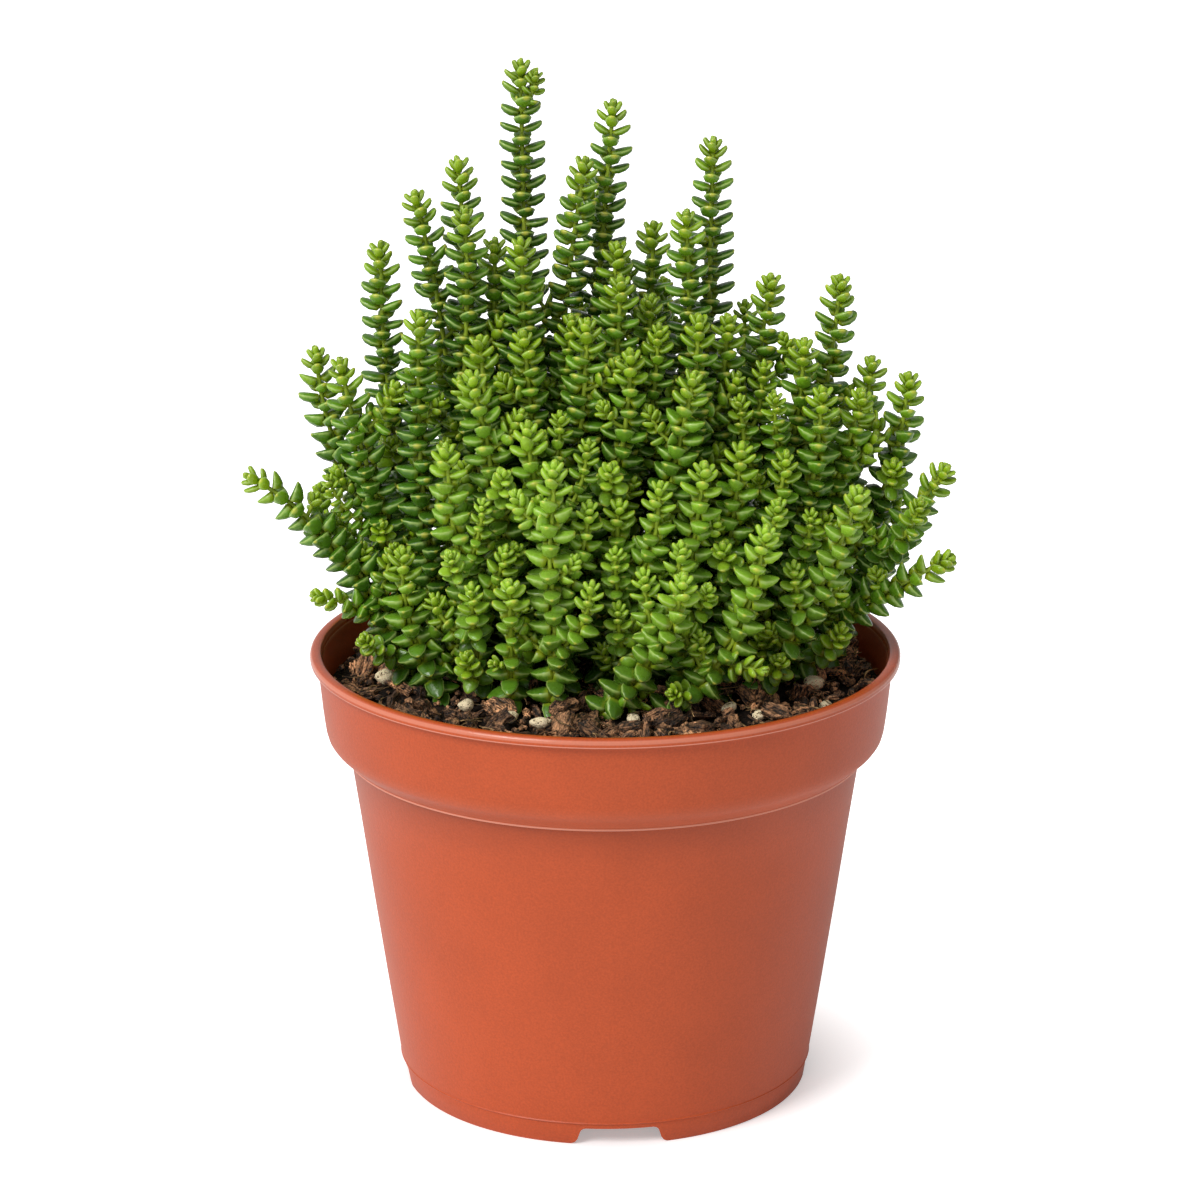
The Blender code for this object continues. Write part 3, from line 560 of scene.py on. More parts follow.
def pushApart(shoots):
    # bends the routes until neighbouring shoots, the rim and the mix are clear of each other
    counts = [len(s["route"]) for s in shoots]
    starts = np.concatenate([[0], np.cumsum(counts)[:-1]])
    rest = np.concatenate([s["route"] for s in shoots])
    owner = np.repeat(np.arange(len(shoots)), counts)
    along = np.concatenate([np.arange(c) * routing["step"] for c in counts])
    reach = np.array([s["size"] for s in shoots])[owner] * routing["leafReach"]
    need = reach[:, None] + reach[None, :] + routing["room"]
    before = np.maximum(np.arange(len(rest)) - 1, starts[owner])
    after = np.minimum(np.arange(len(rest)) + 1, starts[owner] + np.array(counts)[owner] - 1)
    feet = np.array([starts[i] for i, s in enumerate(shoots) if s["mother"] is None])
    twigs = [i for i, s in enumerate(shoots) if s["mother"] is not None]
    twigRoots = np.array([starts[i] for i in twigs])
    motherPoints = np.array([starts[shoots[i]["mother"]] + shoots[i]["joint"] for i in twigs])
    shift = np.zeros_like(rest)
    for turn in range(routing["turns"]):
        points = rest + shift
        if turn % routing["turnsPerSearch"] == 0:
            first, second = closePairs(points, owner, along, need, shoots)
        away = points[first] - points[second]
        distance = np.maximum(np.linalg.norm(away, axis=1), 0.1)
        short = np.maximum(0.0, need[first, second] - distance)
        push = away * (0.5 * short / distance)[:, None]
        move = np.zeros_like(rest)
        np.add.at(move, first, push)
        np.add.at(move, second, -push)
        size = np.maximum(np.linalg.norm(move, axis=1), 1e-9)
        move *= np.minimum(1.0, routing["longestPush"] / size)[:, None]
        low = points[:, 2] < pot["height"] + reach
        radius = np.hypot(points[:, 0], points[:, 1])
        over = np.where(low, np.maximum(0.0, radius + reach - routing["wallLimit"]), 0.0)
        move[:, :2] -= points[:, :2] * (routing["wallPush"] * over / np.maximum(radius, 1.0))[:, None]
        floor = mix["edgeHeight"] + mix["mound"] + reach * routing["leafRoom"]
        sunk = np.where(along > routing["jointFree"], np.maximum(0.0, floor - points[:, 2]), 0.0)
        move[:, 2] += routing["wallPush"] * sunk
        shift = shift + move
        beside = shift[before] + shift[after]
        shift = (1.0 - 2.0 * routing["smoothing"]) * shift + routing["smoothing"] * beside
        shift[twigRoots] = shift[motherPoints]
        shift[feet, 2] = 0.0
        shift *= routing["springBack"]
    points = np.round(rest + shift, 3)
    for shoot, start, count in zip(shoots, starts, counts):
        shoot["route"] = points[start:start + count]


shoots = firstRoutes()
pushApart(shoots)
leafTurns = np.random.default_rng(5).uniform(-routing["turnSpread"], routing["turnSpread"], len(shoots))
print("stems routed:", len(shoots), "shoots")


# Leaves, modelled once each and copied along every shoot
leaf = {
    "sides": 8,
    "seed": 1000,
    # blunt above, pointed and deeper keeled low in the clump, stubby in the heads
    "bluntRings": ((0.12, 0.76, 0.26, 0.58, 0.00), (0.42, 1.00, 0.28, 0.76, 0.00),
                   (0.74, 0.90, 0.26, 0.64, 0.03), (0.94, 0.50, 0.19, 0.38, 0.07)),
    "bluntTip": 0.09,
    "pointedRings": ((0.12, 0.90, 0.20, 1.10, 0.00), (0.38, 1.00, 0.17, 1.10, 0.00),
                     (0.70, 0.78, 0.14, 0.74, 0.03), (0.92, 0.36, 0.09, 0.32, 0.07)),
    "pointedTip": 0.08,
    "youngRings": ((0.10, 0.75, 0.42, 0.55, 0.00), (0.50, 1.00, 0.50, 0.64, 0.05),
                   (0.88, 0.76, 0.42, 0.46, 0.12)),
    "youngTip": 0.14,
    "pointedHeight": (115.0, 165.0),
    # measures of a leaf by how far it sits behind the tip of its shoot, in millimetres and degrees
    "back": (0.0, 0.5, 1.1, 1.8, 2.7, 3.8, 5.2, 7.0, 9.0, 30.0, 60.0),
    "length": (1.6, 2.5, 3.0, 3.3, 3.5, 3.75, 4.0, 4.15, 4.3, 4.9, 5.2),
    "halfWidth": (0.62, 0.80, 0.94, 1.06, 1.2, 1.38, 1.57, 1.74, 1.88, 2.0, 2.05),
    "thickness": (0.85, 1.0, 1.1, 1.2, 1.32, 1.45, 1.58, 1.68, 1.78, 1.9, 2.0),
    "lift": (80.0, 60.0, 47.0, 40.0, 36.0, 32.0, 28.0, 25.0, 21.0, 18.0, 12.0),
    "nodes": (-0.1, 0.35, 0.95, 1.7, 2.6, 3.7, 5.1, 6.9),
    "nodeStep": 1.85,
    "nodeStepFront": 2.4,
    "frontFrom": (-24.0, -12.0),
    "twist": 0.012,
    "youngUntil": 2.2,
    # low in the clump the leaves lie flatter, stand further apart and grow thicker
    "flatFrom": 160.0,
    "flatBelow": 115.0,
    "flatter": 17.0,
    "thicker": 0.28,
    "droopHeight": 16.0,
    "droop": 42.0,
    "stemThin": 0.45,
    "stemThick": 0.62,
    "stunted": 0.68,
    # how far behind the tip these set in, none at the first and full at the second
    "pointedAfter": (3.0, 9.0),
    "flatAfter": (3.0, 12.0),
    "droopAfter": (5.0, 15.0),
    # limits: width and thickness by length, reach by the gap to the next stem and by the height over the mix
    "widest": 0.53,
    "thickest": 0.64,
    "gapShare": 0.85,
    "groundReach": (3.8, 1.2),
    "shortestReach": 0.9,
    "bareJoint": 1.6,
    "baseOut": 0.25,
    "stepSpread": (0.94, 1.1),
    "stemSides": 7,
    "stemGrowth": ((0.0, 25.0, 70.0), (0.0, 0.45, 1.0)),
    "oldFrom": 70.0,
    "stemStep": 1.1,
    "wobble": (0.06, 0.08, 0.14, 0.06),
}


def modelLeaf(kind):
    # a fleshy blade along +X: each ring is (place, half width, top, underside, lift)
    rings = leaf[f"{kind}Rings"]
    selectNone()
    bpy.ops.mesh.primitive_uv_sphere_add(segments=leaf["sides"], ring_count=len(rings) + 1, radius=0.5)
    piece = startPiece(f"{kind}Leaf")
    editAll()
    bpy.ops.transform.rotate(value=math.pi / 2, orient_axis="Y", center_override=(0, 0, 0))
    bpy.ops.object.mode_set(mode="OBJECT")
    places = sorted({round(v.co.x, 4) for v in piece.data.vertices})
    members = [[v.index for v in piece.data.vertices if abs(v.co.x - x) < 1e-3] for x in places]
    plan = [(0.0, 0.0, 0.0, 0.0, 0.0), *rings, (1.0, 0.0, 0.0, 0.0, leaf[f"{kind}Tip"])]
    for x, ring, (place, width, top, under, lift) in zip(places, members, plan):
        radius = math.sqrt(max(0.25 - x * x, 0.0))
        if len(ring) > 1:
            scaleVerts(piece, lambda v: v.index in ring, (1, width / radius, 1))
            scaleVerts(piece, lambda v: v.index in ring and v.co.z > 1e-4, (1, 1, top / radius))
            scaleVerts(piece, lambda v: v.index in ring and v.co.z < -1e-4, (1, 1, under / radius))
        pickVerts(piece, lambda v: v.index in ring)
        bpy.ops.transform.translate(value=(place - x, 0, lift))
    closeShape(piece)
    shape = takeTemplate(piece)
    # how near each corner is to the blade's edge, for the paler margin
    half = np.interp(shape["corners"][:, 0], [p[0] for p in plan], [max(p[1], 0.05) for p in plan])
    edge = np.clip(np.abs(shape["corners"][:, 1]) / half, 0.0, 1.0) ** 3
    edge[shape["corners"][:, 0] > 0.98] = 1.0
    edge[shape["corners"][:, 0] < 0.05] = 0.0
    shape["edge"] = edge
    return shape


bluntLeaf, pointedLeaf, youngLeaf = (modelLeaf(kind) for kind in ("blunt", "pointed", "young"))
print("leaves modelled:", len(bluntLeaf["faces"]), "and", len(youngLeaf["faces"]), "triangles")


def framesAlong(route, turn):
    # the stem's direction and the two directions across it in which its leaf pairs point
    tangent = np.gradient(route, axis=0)
    tangent /= np.linalg.norm(tangent, axis=1)[:, None]
    sideways = np.array([math.cos(turn), math.sin(turn), 0.0])
    across = sideways - tangent * (tangent @ sideways)[:, None]
    across /= np.linalg.norm(across, axis=1)[:, None]
    return tangent, across, np.cross(tangent, across)


def smoothRoute(route):
    fine = resample(route, routing["fineStep"])
    for turn in range(routing["fineTurns"]):
        fine[1:-1] = 0.5 * fine[1:-1] + 0.25 * (fine[:-2] + fine[2:])
    return fine


def lengthOf(fine):
    return routing["fineStep"] * (len(fine) - 1)


def pointBehindTip(fine, back):
    # which point of a fine route lies so far behind its tip
    return int(np.clip(round((lengthOf(fine) - back) / routing["fineStep"]), 0, len(fine) - 1))


def blend(x, places, values):
    return float(np.interp(x, places, values))


def sizeShare(size):
    # the head of a smaller shoot shrinks less than its leaves
    return 0.35 + 0.65 * size


for shoot in shoots:
    shoot["fine"] = smoothRoute(shoot["route"])

buds = {
    "seed": 44,
    "firstBack": 11.0,
    "gap": (3.5, 8.0),
    "length": (3.0, 13.0),
    "size": (0.7, 0.95),
    "room": 3.0,
    "crowd": 9.0,
    "crowdPoints": 32,
    "highest": 165.0,
    "most": 290,
    # how its route leaves the stem: outwards, upwards, out at its belly and along the stem there
    "out": 0.75,
    "up": 0.7,
    "belly": 0.55,
    "along": 0.15,
    "halfRoom": 1.6,
    "overMix": 3.0,
    "offWall": 4.0,
    "turnSpread": 0.8,
}


def sproutBuds(plan):
    # short side shoots in the axils of older leaves, where there is room for them
    rng = np.random.default_rng(plan["seed"])
    taken = np.concatenate([s["fine"][::2] for s in shoots])
    made = []
    for index in range(len(shoots)):
        shoot = shoots[index]
        length = lengthOf(shoot["fine"])
        tangent, across, other = framesAlong(shoot["fine"], leafTurns[index])
        back = plan["firstBack"] + rng.uniform(*plan["gap"]) * 0.5
        while back < length - 2.0:
            at = pointBehindTip(shoot["fine"], back)
            centre = shoot["fine"][at]
            long = rng.uniform(*plan["length"])
            headings = [across[at], -across[at], other[at], -other[at]]
            for choice in rng.permutation(4):
                out = headings[choice]
                tip = centre + (plan["out"] * out + np.array([0.0, 0.0, plan["up"]])) * long
                middle = centre + out * long * plan["belly"] + tangent[at] * long * plan["along"]
                away = np.sqrt(((taken - tip) ** 2).sum(axis=1))
                halfway = np.sqrt(((taken - (middle + tip) / 2) ** 2).sum(axis=1))
                low = tip[2] < pot["height"] + plan["overMix"]
                low = low and math.hypot(tip[0], tip[1]) > routing["wallLimit"] - plan["offWall"]
                alone = (away < plan["crowd"]).sum() < plan["crowdPoints"] or tip[2] > plan["highest"]
                if away.min() > plan["room"] and halfway.min() > plan["halfRoom"] and not low and not alone:
                    t = np.linspace(0.0, 1.0, 12)[:, None]
                    route = centre * (1 - t) ** 2 + middle * 2 * t * (1 - t) + tip * t ** 2
                    made.append({"stem": shoot["stem"], "mother": index, "size": rng.uniform(*plan["size"]),
                                 "fine": resample(route, routing["fineStep"]), "clear": away.min()})
                    taken = np.concatenate([taken, made[-1]["fine"]])
                    break
            back += rng.uniform(*plan["gap"])
    widest = sorted(range(len(made)), key=lambda i: -made[i]["clear"])
    return [made[i] for i in sorted(widest[:plan["most"]])]


budShoots = sproutBuds(buds)
budTurns = np.random.default_rng(buds["seed"]).uniform(-1.0, 1.0, len(budShoots)) * buds["turnSpread"]
leafTurns = np.concatenate([leafTurns, budTurns])
shoots += budShoots
print("side buds:", len(budShoots))
stemPoints = np.concatenate([s["fine"][::2] for s in shoots])
stemOwners = np.concatenate([np.full(len(s["fine"][::2]), i) for i, s in enumerate(shoots)])
stemFamily = np.array([shoots[i]["stem"] for i in stemOwners])


def nodePlaces(fine, size, stretch):
    # distances from the tip at which leaf pairs sit: crowded in the head, wider apart lower down
    scale = sizeShare(size)
    length = lengthOf(fine)
    places = [back * scale for back in leaf["nodes"]]
    while places[-1] < length:
        _, y, height = fine[pointBehindTip(fine, places[-1])]
        low = blend(height, (leaf["flatBelow"], leaf["flatFrom"]), (1.0, 0.0))
        front = blend(y, leaf["frontFrom"], (1.0, 0.0))
        step = leaf["nodeStep"] + (leaf["nodeStepFront"] - leaf["nodeStep"]) * low * front
        places.append(places[-1] + step * scale * stretch)
    return [back for back in places if back < length - 0.6]


def sweepStem(fine, size, rooted):
    # a closed tube along the shoot, thicker and older towards its foot
    line = fine[:: max(1, int(round(leaf["stemStep"] / routing["fineStep"])))]
    if rooted:
        line = np.concatenate([line[:1] - [0.0, 0.0, 3.0], line])
    tangent, across, other = framesAlong(line, 0.0)
    sides = leaf["stemSides"]
    angles = np.arange(sides) * math.tau / sides
    ring = across[:, None, :] * np.cos(angles)[None, :, None]
    ring = ring + other[:, None, :] * np.sin(angles)[None, :, None]
    back = lengthOf(fine) * (1.0 - np.linspace(0.0, 1.0, len(line)))
    thick = leaf["stemThick"] * (0.75 + 0.25 * size)
    thin = leaf["stemThin"] * (0.6 + 0.4 * size)
    radii = thin + (thick - thin) * np.interp(back, *leaf["stemGrowth"])
    corners = (line[:, None, :] + ring * radii[:, None, None]).reshape(-1, 3)
    corners = np.concatenate([corners, line[:1], line[-1:]])
    faces = []
    for i in range(len(line) - 1):
        for k in range(sides):
            a, b = i * sides + k, i * sides + (k + 1) % sides
            faces += [(a, b, b + sides), (a, b + sides, a + sides)]
    low, high = len(corners) - 2, len(corners) - 1
    last = (len(line) - 1) * sides
    for k in range(sides):
        faces.append((low, (k + 1) % sides, k))
        faces.append((high, last + k, last + (k + 1) % sides))
    ages = np.minimum(1.0, back / leaf["oldFrom"])
    return corners, np.array(faces), np.concatenate([np.repeat(ages, sides), ages[:1], ages[-1:]])


def leafOnNode(rng, centre, tangent, out, back, size, reachCap, ground):
    # where one leaf goes: its base, the three directions of its blade and its measures
    past = max(back, 0.0) / sizeShare(size)
    length, width, thick, lift = (blend(past, leaf["back"], leaf[label])
                                  for label in ("length", "halfWidth", "thickness", "lift"))
    wobble = rng.normal(0.0, 1.0, 4) * leaf["wobble"]
    share = blend(centre[2], (leaf["flatBelow"], leaf["flatFrom"]), (1.0, 0.0))
    share *= blend(past, leaf["flatAfter"], (0.0, 1.0))
    lift -= leaf["flatter"] * share
    lift -= (leaf["droop"] * max(0.0, 1.0 - ground / leaf["droopHeight"])
             * blend(past, leaf["droopAfter"], (0.0, 1.0)))
    lift = math.radians(lift) + wobble[1]
    reach = max(reachCap, leaf["shortestReach"]) / math.cos(min(lift, 1.2))
    length = min(length * size * (1.0 + wobble[0]), reach)
    lift = max(lift, -math.asin(min(1.0, (max(ground, 0.0) + 0.5) / length)))
    width = min(width * size * (1.0 + wobble[3]), leaf["widest"] * length)
    thick = min(thick * size * (1.0 + leaf["thicker"] * share + wobble[3]), leaf["thickest"] * length)
    beside = np.cross(tangent, out)
    out = out * math.cos(wobble[2]) + beside * math.sin(wobble[2])
    along = out * math.cos(lift) + tangent * math.sin(lift)
    up = tangent * math.cos(lift) - out * math.sin(lift)
    side = np.cross(up, along)
    return centre + along * leaf["baseOut"], along * length, side * width, up * thick


def blockedLeaf(index, base, along):
    # whether a leaf would run into another stem
    nearby = stemPoints[stemOwners != index]
    return any(((nearby - base - along * share) ** 2).sum(axis=1).min() < 1.0 for share in (0.45, 0.95))


class Heap:
    # gathers small closed shapes into one piece, with painted values at their corners
    def __init__(self):
        self.corners, self.faces, self.slots, self.values, self.count = [], [], [], {}, 0

    def add(self, corners, faces, slot=0, **painted):
        self.corners.append(corners)
        self.faces.append(faces + self.count)
        self.slots.append(np.full(len(faces), slot))
        for label, value in painted.items():
            value = np.full(len(corners), value) if np.ndim(value) == 0 else value
            self.values.setdefault(label, []).append(value)
        self.count += len(corners)

    def asPiece(self, name, finishes, smooth=True):
        mesh = bpy.data.meshes.new(name)
        corners, faces = np.concatenate(self.corners), np.concatenate(self.faces)
        mesh.from_pydata((corners * mm).tolist(), [], faces.tolist())
        for finish in finishes:
            mesh.materials.append(finish)
        mesh.polygons.foreach_set("material_index", np.concatenate(self.slots))
        for label, parts in self.values.items():
            numbers = np.concatenate(parts)
            kind, field = ("FLOAT", "value") if numbers.ndim == 1 else ("FLOAT_VECTOR", "vector")
            painted = mesh.attributes.new(label, kind, "POINT")
            painted.data.foreach_set(field, numbers.astype(np.float32).ravel())
        mesh.validate()
        if smooth:
            mesh.shade_smooth()
        piece = bpy.data.objects.new(name, mesh)
        bpy.context.scene.collection.objects.link(piece)
        return piece


def growStem(number):
    # all the leaves and stems of one rooted stem with its side shoots
    rng = np.random.default_rng(leaf["seed"] + number)
    heap = Heap()
    others = stemPoints[stemFamily != number]
    for index, shoot in enumerate(shoots):
        if shoot["stem"] != number:
            continue
        fine, size = shoot["fine"], shoot["size"]
        length = lengthOf(fine)
        rooted = shoot["mother"] is None
        tangent, across, other = framesAlong(fine, leafTurns[index])
        tube, tubeFaces, tubeAge = sweepStem(fine, size, rooted)
        heap.add(tube, tubeFaces, 1, leafAge=tubeAge, leafEdge=0.0, leafAlong=0.0, leafTone=0.5)
        stretch = rng.uniform(*leaf["stepSpread"])
        twist = rng.normal(0.0, leaf["twist"])
        for turn, back in enumerate(nodePlaces(fine, size, stretch)):
            at = pointBehindTip(fine, back)
            centre = fine[at] + tangent[at] * max(0.0, -back)
            gap = math.sqrt(((others - centre) ** 2).sum(axis=1).min())
            ground = centre[2] - float(mixHeight(centre[0], centre[1]))
            onMix, perHeight = leaf["groundReach"]
            cap = min(leaf["gapShare"] * gap, onMix + perHeight * max(ground, 0.0))
            pointed = rng.uniform() < (blend(centre[2], leaf["pointedHeight"], (1.0, 0.0))
                                       * blend(back, leaf["pointedAfter"], (0.0, 1.0)))
            shape = youngLeaf if back < leaf["youngUntil"] else pointedLeaf if pointed else bluntLeaf
            spin = twist * back + (0.5 * math.pi if turn % 2 else 0.0)
            direction = across[at] * math.cos(spin) + other[at] * math.sin(spin)
            for out in (direction, -direction):
                base, along, side, up = leafOnNode(rng, centre, tangent[at], out, back, size, cap, ground)
                shade = rng.uniform(0.0, 1.0)
                if not rooted and length - back < leaf["bareJoint"]:
                    continue
                if blockedLeaf(index, base, along):
                    along = along * leaf["stunted"]
                    if blockedLeaf(index, base, along):
                        continue
                blade = shape["corners"]
                placed = base + blade[:, :1] * along + blade[:, 1:2] * side + blade[:, 2:] * up
                heap.add(placed, shape["faces"], leafAge=min(1.0, max(back, 0.0) / leaf["oldFrom"]),
                         leafEdge=shape["edge"], leafAlong=blade[:, 0], leafTone=shade)
    return heap


foliage = {
    "head": (0.250, 0.400, 0.010),
    "young": (0.12, 0.275, 0.011),
    "grown": (0.058, 0.158, 0.008),
    "old": (0.040, 0.118, 0.007),
    "edge": (0.44, 0.60, 0.16),
    "tip": (0.62, 0.57, 0.06),
    "foot": (0.40, 0.45, 0.02),
    "stemYoung": (0.34, 0.46, 0.03),
    "stemOld": (0.56, 0.54, 0.08),
    # painted light and shade: where shoots are painted paler towards the open front, how much less low down,
    # and painted darker towards the top
    "paintedFrontLight": (0.50, 0.82, 0.08),
    "frontShare": 0.40,
    "frontFrom": (-0.026, -0.012),
    "frontAbove": (0.09, 0.118),
    "lowShare": 0.14,
    "paintedHighShade": 0.88,
    "highFrom": (0.15, 0.20),
    "roughness": 0.24,
}


def leafFinish(plan):
    finish, tree, shader = newFinish("succulentLeaf", plan["roughness"], 0.4)
    place = onPiece(tree)
    colour = ramp(tree, paintedValue(tree, "leafAge"), (
        (0.0, plan["head"]), (0.035, plan["head"]), (0.11, plan["young"]), (0.32, plan["grown"]),
        (1.0, plan["old"])))
    # each leaf a little lighter or darker than the next
    shade = ramp(tree, paintedValue(tree, "leafTone"), ((0.0, 0.78), (1.0, 1.22)))
    colour = tinted(tree, colour, shade)
    # painted light and shade: shoots in the open front are painted paler, the highest ones painted a little
    # darker
    axes = addNode(tree, "ShaderNodeSeparateXYZ", {"Vector": place}).outputs
    front = mapRange(tree, axes["Y"], plan["frontFrom"], (plan["frontShare"], 0.0))
    above = mapRange(tree, axes["Z"], plan["frontAbove"], (plan["lowShare"], 1.0))
    paler = addNode(tree, "ShaderNodeMath", {0: front, 1: above}, operation="MULTIPLY")
    colour = mixColour(tree, paler.outputs["Value"], colour, plan["paintedFrontLight"])
    colour = tinted(tree, colour, mapRange(tree, axes["Z"], plan["highFrom"], (1.0, plan["paintedHighShade"])))
    noise = mottle(tree, place, 420.0, 4.0, 0.5)
    spots = ramp(tree, noise["Mixed"], ((0.25, 0.80), (0.75, 1.2)))
    colour = tinted(tree, colour, spots)
    # yellower where the leaf leaves the stem, paler along its margin
    root = ramp(tree, paintedValue(tree, "leafAlong"), ((0.05, 0.75), (0.30, 0.0)))
    colour = mixColour(tree, root, colour, plan["foot"])
    margin = ramp(tree, paintedValue(tree, "leafEdge"), ((0.70, 0.0), (0.97, 0.75)))
    colour = mixColour(tree, margin, colour, plan["edge"])
    point = ramp(tree, paintedValue(tree, "leafAlong"), ((0.93, 0.0), (1.0, 0.8)))
    colour = mixColour(tree, point, colour, plan["tip"])
    tree.links.new(colour, shader.inputs["Base Color"])
    gloss = ramp(tree, noise["Broad"], ((0.3, plan["roughness"] - 0.06), (0.7, plan["roughness"] + 0.1)))
    tree.links.new(gloss, shader.inputs["Roughness"])
    relief(tree, shader, noise["Mixed"], 0.00022, 0.5)
    return finish


def stemFinish(plan):
    finish, tree, shader = newFinish("succulentStem", 0.45, 0.4)
    place = onPiece(tree)
    colour = ramp(tree, paintedValue(tree, "leafAge"), ((0.0, plan["stemYoung"]), (0.35, plan["stemYoung"]),
                                                      (0.85, plan["stemOld"])))
    noise = mottle(tree, place, 600.0, 3.0, 0.4)
    colour = tinted(tree, colour, ramp(tree, noise["Mixed"], ((0.3, 0.75), (0.7, 1.2))))
    tree.links.new(colour, shader.inputs["Base Color"])
    relief(tree, shader, noise["Mixed"], 0.0002, 0.5)
    return finish


leafGreen = leafFinish(foliage)
stemGreen = stemFinish(foliage)
triangles = 0
for number in range(len(stemTable)):
    piece = growStem(number).asPiece(f"foliage_{number + 1:02d}", [leafGreen, stemGreen])
    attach(piece, "root")
    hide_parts(f"sprig_{number + 1:02d}")
    triangles += len(piece.data.polygons)
print("foliage grown:", triangles, "triangles")


# Potting mix: a rough dark bed with bark chips, crumbs, fibres and pumice grains on it
bed = {
    "rings": [(41.1, 6.1), (50.8, 72.6), (54.6, 75.8), (55.5, 79.0)],
    "segments": 160,
    "topRings": 30,
    "wallRadius": 55.9,
    "roughness": 0.7,
    "edge": (56.0, 83.6),
    "topRadius": 55.6,
    "topWaves": 14,
    "topRough": 1.6,
    "topSunk": 0.5,
    "seed": 21,
    # how far out the small pieces lie, how many of each there are, and their sizes
    "reach": 54.5,
    "crumbReach": 55.2,
    "chips": 470,
    "chipLength": (2.2, 4.8),
    "longChip": (4.8, 7.5),
    "shortShare": 0.8,
    "flatShare": 0.5,
    "crumbs": 1900,
    "crumbSize": (0.7, 2.2),
    "grains": 34,
    "grainSize": (1.6, 3.4),
    "fibres": 120,
    "fibreLength": (4.0, 11.0),
    # the waves that roughen each piece: how many, how close, and how far they stretch along its grain
    "waves": 7,
    "waveSpread": (0.6, 2.4),
    "waveStretch": (0.45, 1.0, 1.0),
}
# what shows plainly in front: kind, place across and back, size, turn, tilt, rise
shownPieces = [
    ("grain", (-44.6, -3.7), (4.2, 3.8, 3.4), 20, 5, 1.9),
    ("grain", (-27.8, -22.1), (4.0, 3.2, 2.9), 80, 0, 1.9),
    ("grain", (-19.0, -29.1), (3.9, 3.0, 2.5), 10, 8, 1.7),
    ("grain", (-12.6, -31.6), (4.4, 3.0, 2.4), 5, 0, 1.6),
    ("grain", (7.8, -14.5), (2.4, 2.0, 2.0), 60, 20, 1.6),
    ("grain", (24.6, -21.5), (3.4, 2.3, 2.2), 40, 10, 0.8),
    ("grain", (42.2, -7.5), (4.2, 3.8, 3.4), 10, 0, 1.8),
    ("grain", (-23.2, -21.5), (1.5, 1.3, 1.3), 0, 0, 1.2),
    ("grain", (30.5, -26.5), (3.0, 2.6, 2.2), 40, 10, 1.6),
    ("grain", (35.5, -3.0), (2.6, 1.7, 1.6), 20, 10, 1.4),
    ("chip", (47.0, 11.5), (8.6, 5.4, 4.6), 8, 6, 1.6),
    ("chip", (52.5, 19.0), (6.0, 4.0, 3.2), 20, 10, 2.0),
    ("flake", (-23.5, -10.5), (10.5, 5.0, 1.5), -38, 42, 3.0),
    ("flake", (-48.5, 5.0), (8.5, 4.0, 1.6), 70, 60, 3.4),
    ("chip", (-42.5, 3.5), (7.5, 4.6, 3.4), 20, 15, 1.6),
    ("chip", (-35.5, -1.5), (7.0, 4.4, 3.6), -30, 25, 1.8),
    ("flake", (50.0, 28.0), (8.0, 3.6, 1.4), 60, 62, 3.0),
    ("chip", (31.0, -14.0), (7.5, 3.8, 3.4), 60, 35, 1.6),
]


def roughen(corners, rng, depth):
    # moves the corners of one copy in and out by a few crossing waves, longer along its grain
    away = corners / np.maximum(np.linalg.norm(corners, axis=1), 1e-6)[:, None]
    push = np.zeros(len(corners))
    for number in range(bed["waves"]):
        heading = rng.normal(0.0, 1.0, 3) * bed["waveStretch"]
        heading *= rng.uniform(*bed["waveSpread"]) / max(np.linalg.norm(heading), 1e-6)
        push += np.sin(corners @ heading + rng.uniform(0.0, math.tau)) / bed["waves"] ** 0.5
    return corners + away * (push * depth)[:, None]


def turned(corners, turn, tilt, roll):
    spin = Matrix.Rotation(turn, 3, "Z") @ Matrix.Rotation(tilt, 3, "Y") @ Matrix.Rotation(roll, 3, "X")
    return corners @ np.array(spin).T


def modelChip():
    # a chunk of bark: a box cut fine, one end drawn in, bowed along its length
    selectNone()
    bpy.ops.mesh.primitive_cube_add(size=1)
    piece = startPiece("chip")
    editAll()
    bpy.ops.mesh.subdivide(number_cuts=3)
    bpy.ops.transform.vertex_random(offset=0.06, seed=3)
    scaleVerts(piece, lambda v: v.co.x > 0.35, (1.0, 0.45, 0.5), (0.5, 0, 0))
    scaleVerts(piece, lambda v: v.co.x < -0.35, (1.0, 0.7, 0.6), (-0.5, 0, 0))
    scaleVerts(piece, lambda v: abs(v.co.y) > 0.4, (0.85, 1.0, 0.6))
    pickVerts(piece, lambda v: abs(v.co.x) < 0.3)
    bpy.ops.transform.translate(value=(0, 0, 0.12))
    closeShape(piece)
    return takeTemplate(piece)


def modelFlake():
    # a thin flake of outer bark, pointed at one end and cupped
    selectNone()
    bpy.ops.mesh.primitive_cube_add(size=1)
    piece = startPiece("flake")
    editAll()
    bpy.ops.mesh.subdivide(number_cuts=4)
    bpy.ops.transform.vertex_random(offset=0.03, seed=8)
    scaleVerts(piece, lambda v: v.co.x > 0.05, (1.0, 0.72, 0.9))
    scaleVerts(piece, lambda v: v.co.x > 0.25, (1.0, 0.55, 0.8))
    scaleVerts(piece, lambda v: v.co.x > 0.45, (1.25, 0.3, 0.6))
    scaleVerts(piece, lambda v: v.co.x < -0.25, (1.0, 0.75, 0.9))
    pickVerts(piece, lambda v: abs(v.co.y) > 0.2)
    bpy.ops.transform.translate(value=(0, 0, 0.35))
    closeShape(piece)
    return takeTemplate(piece)


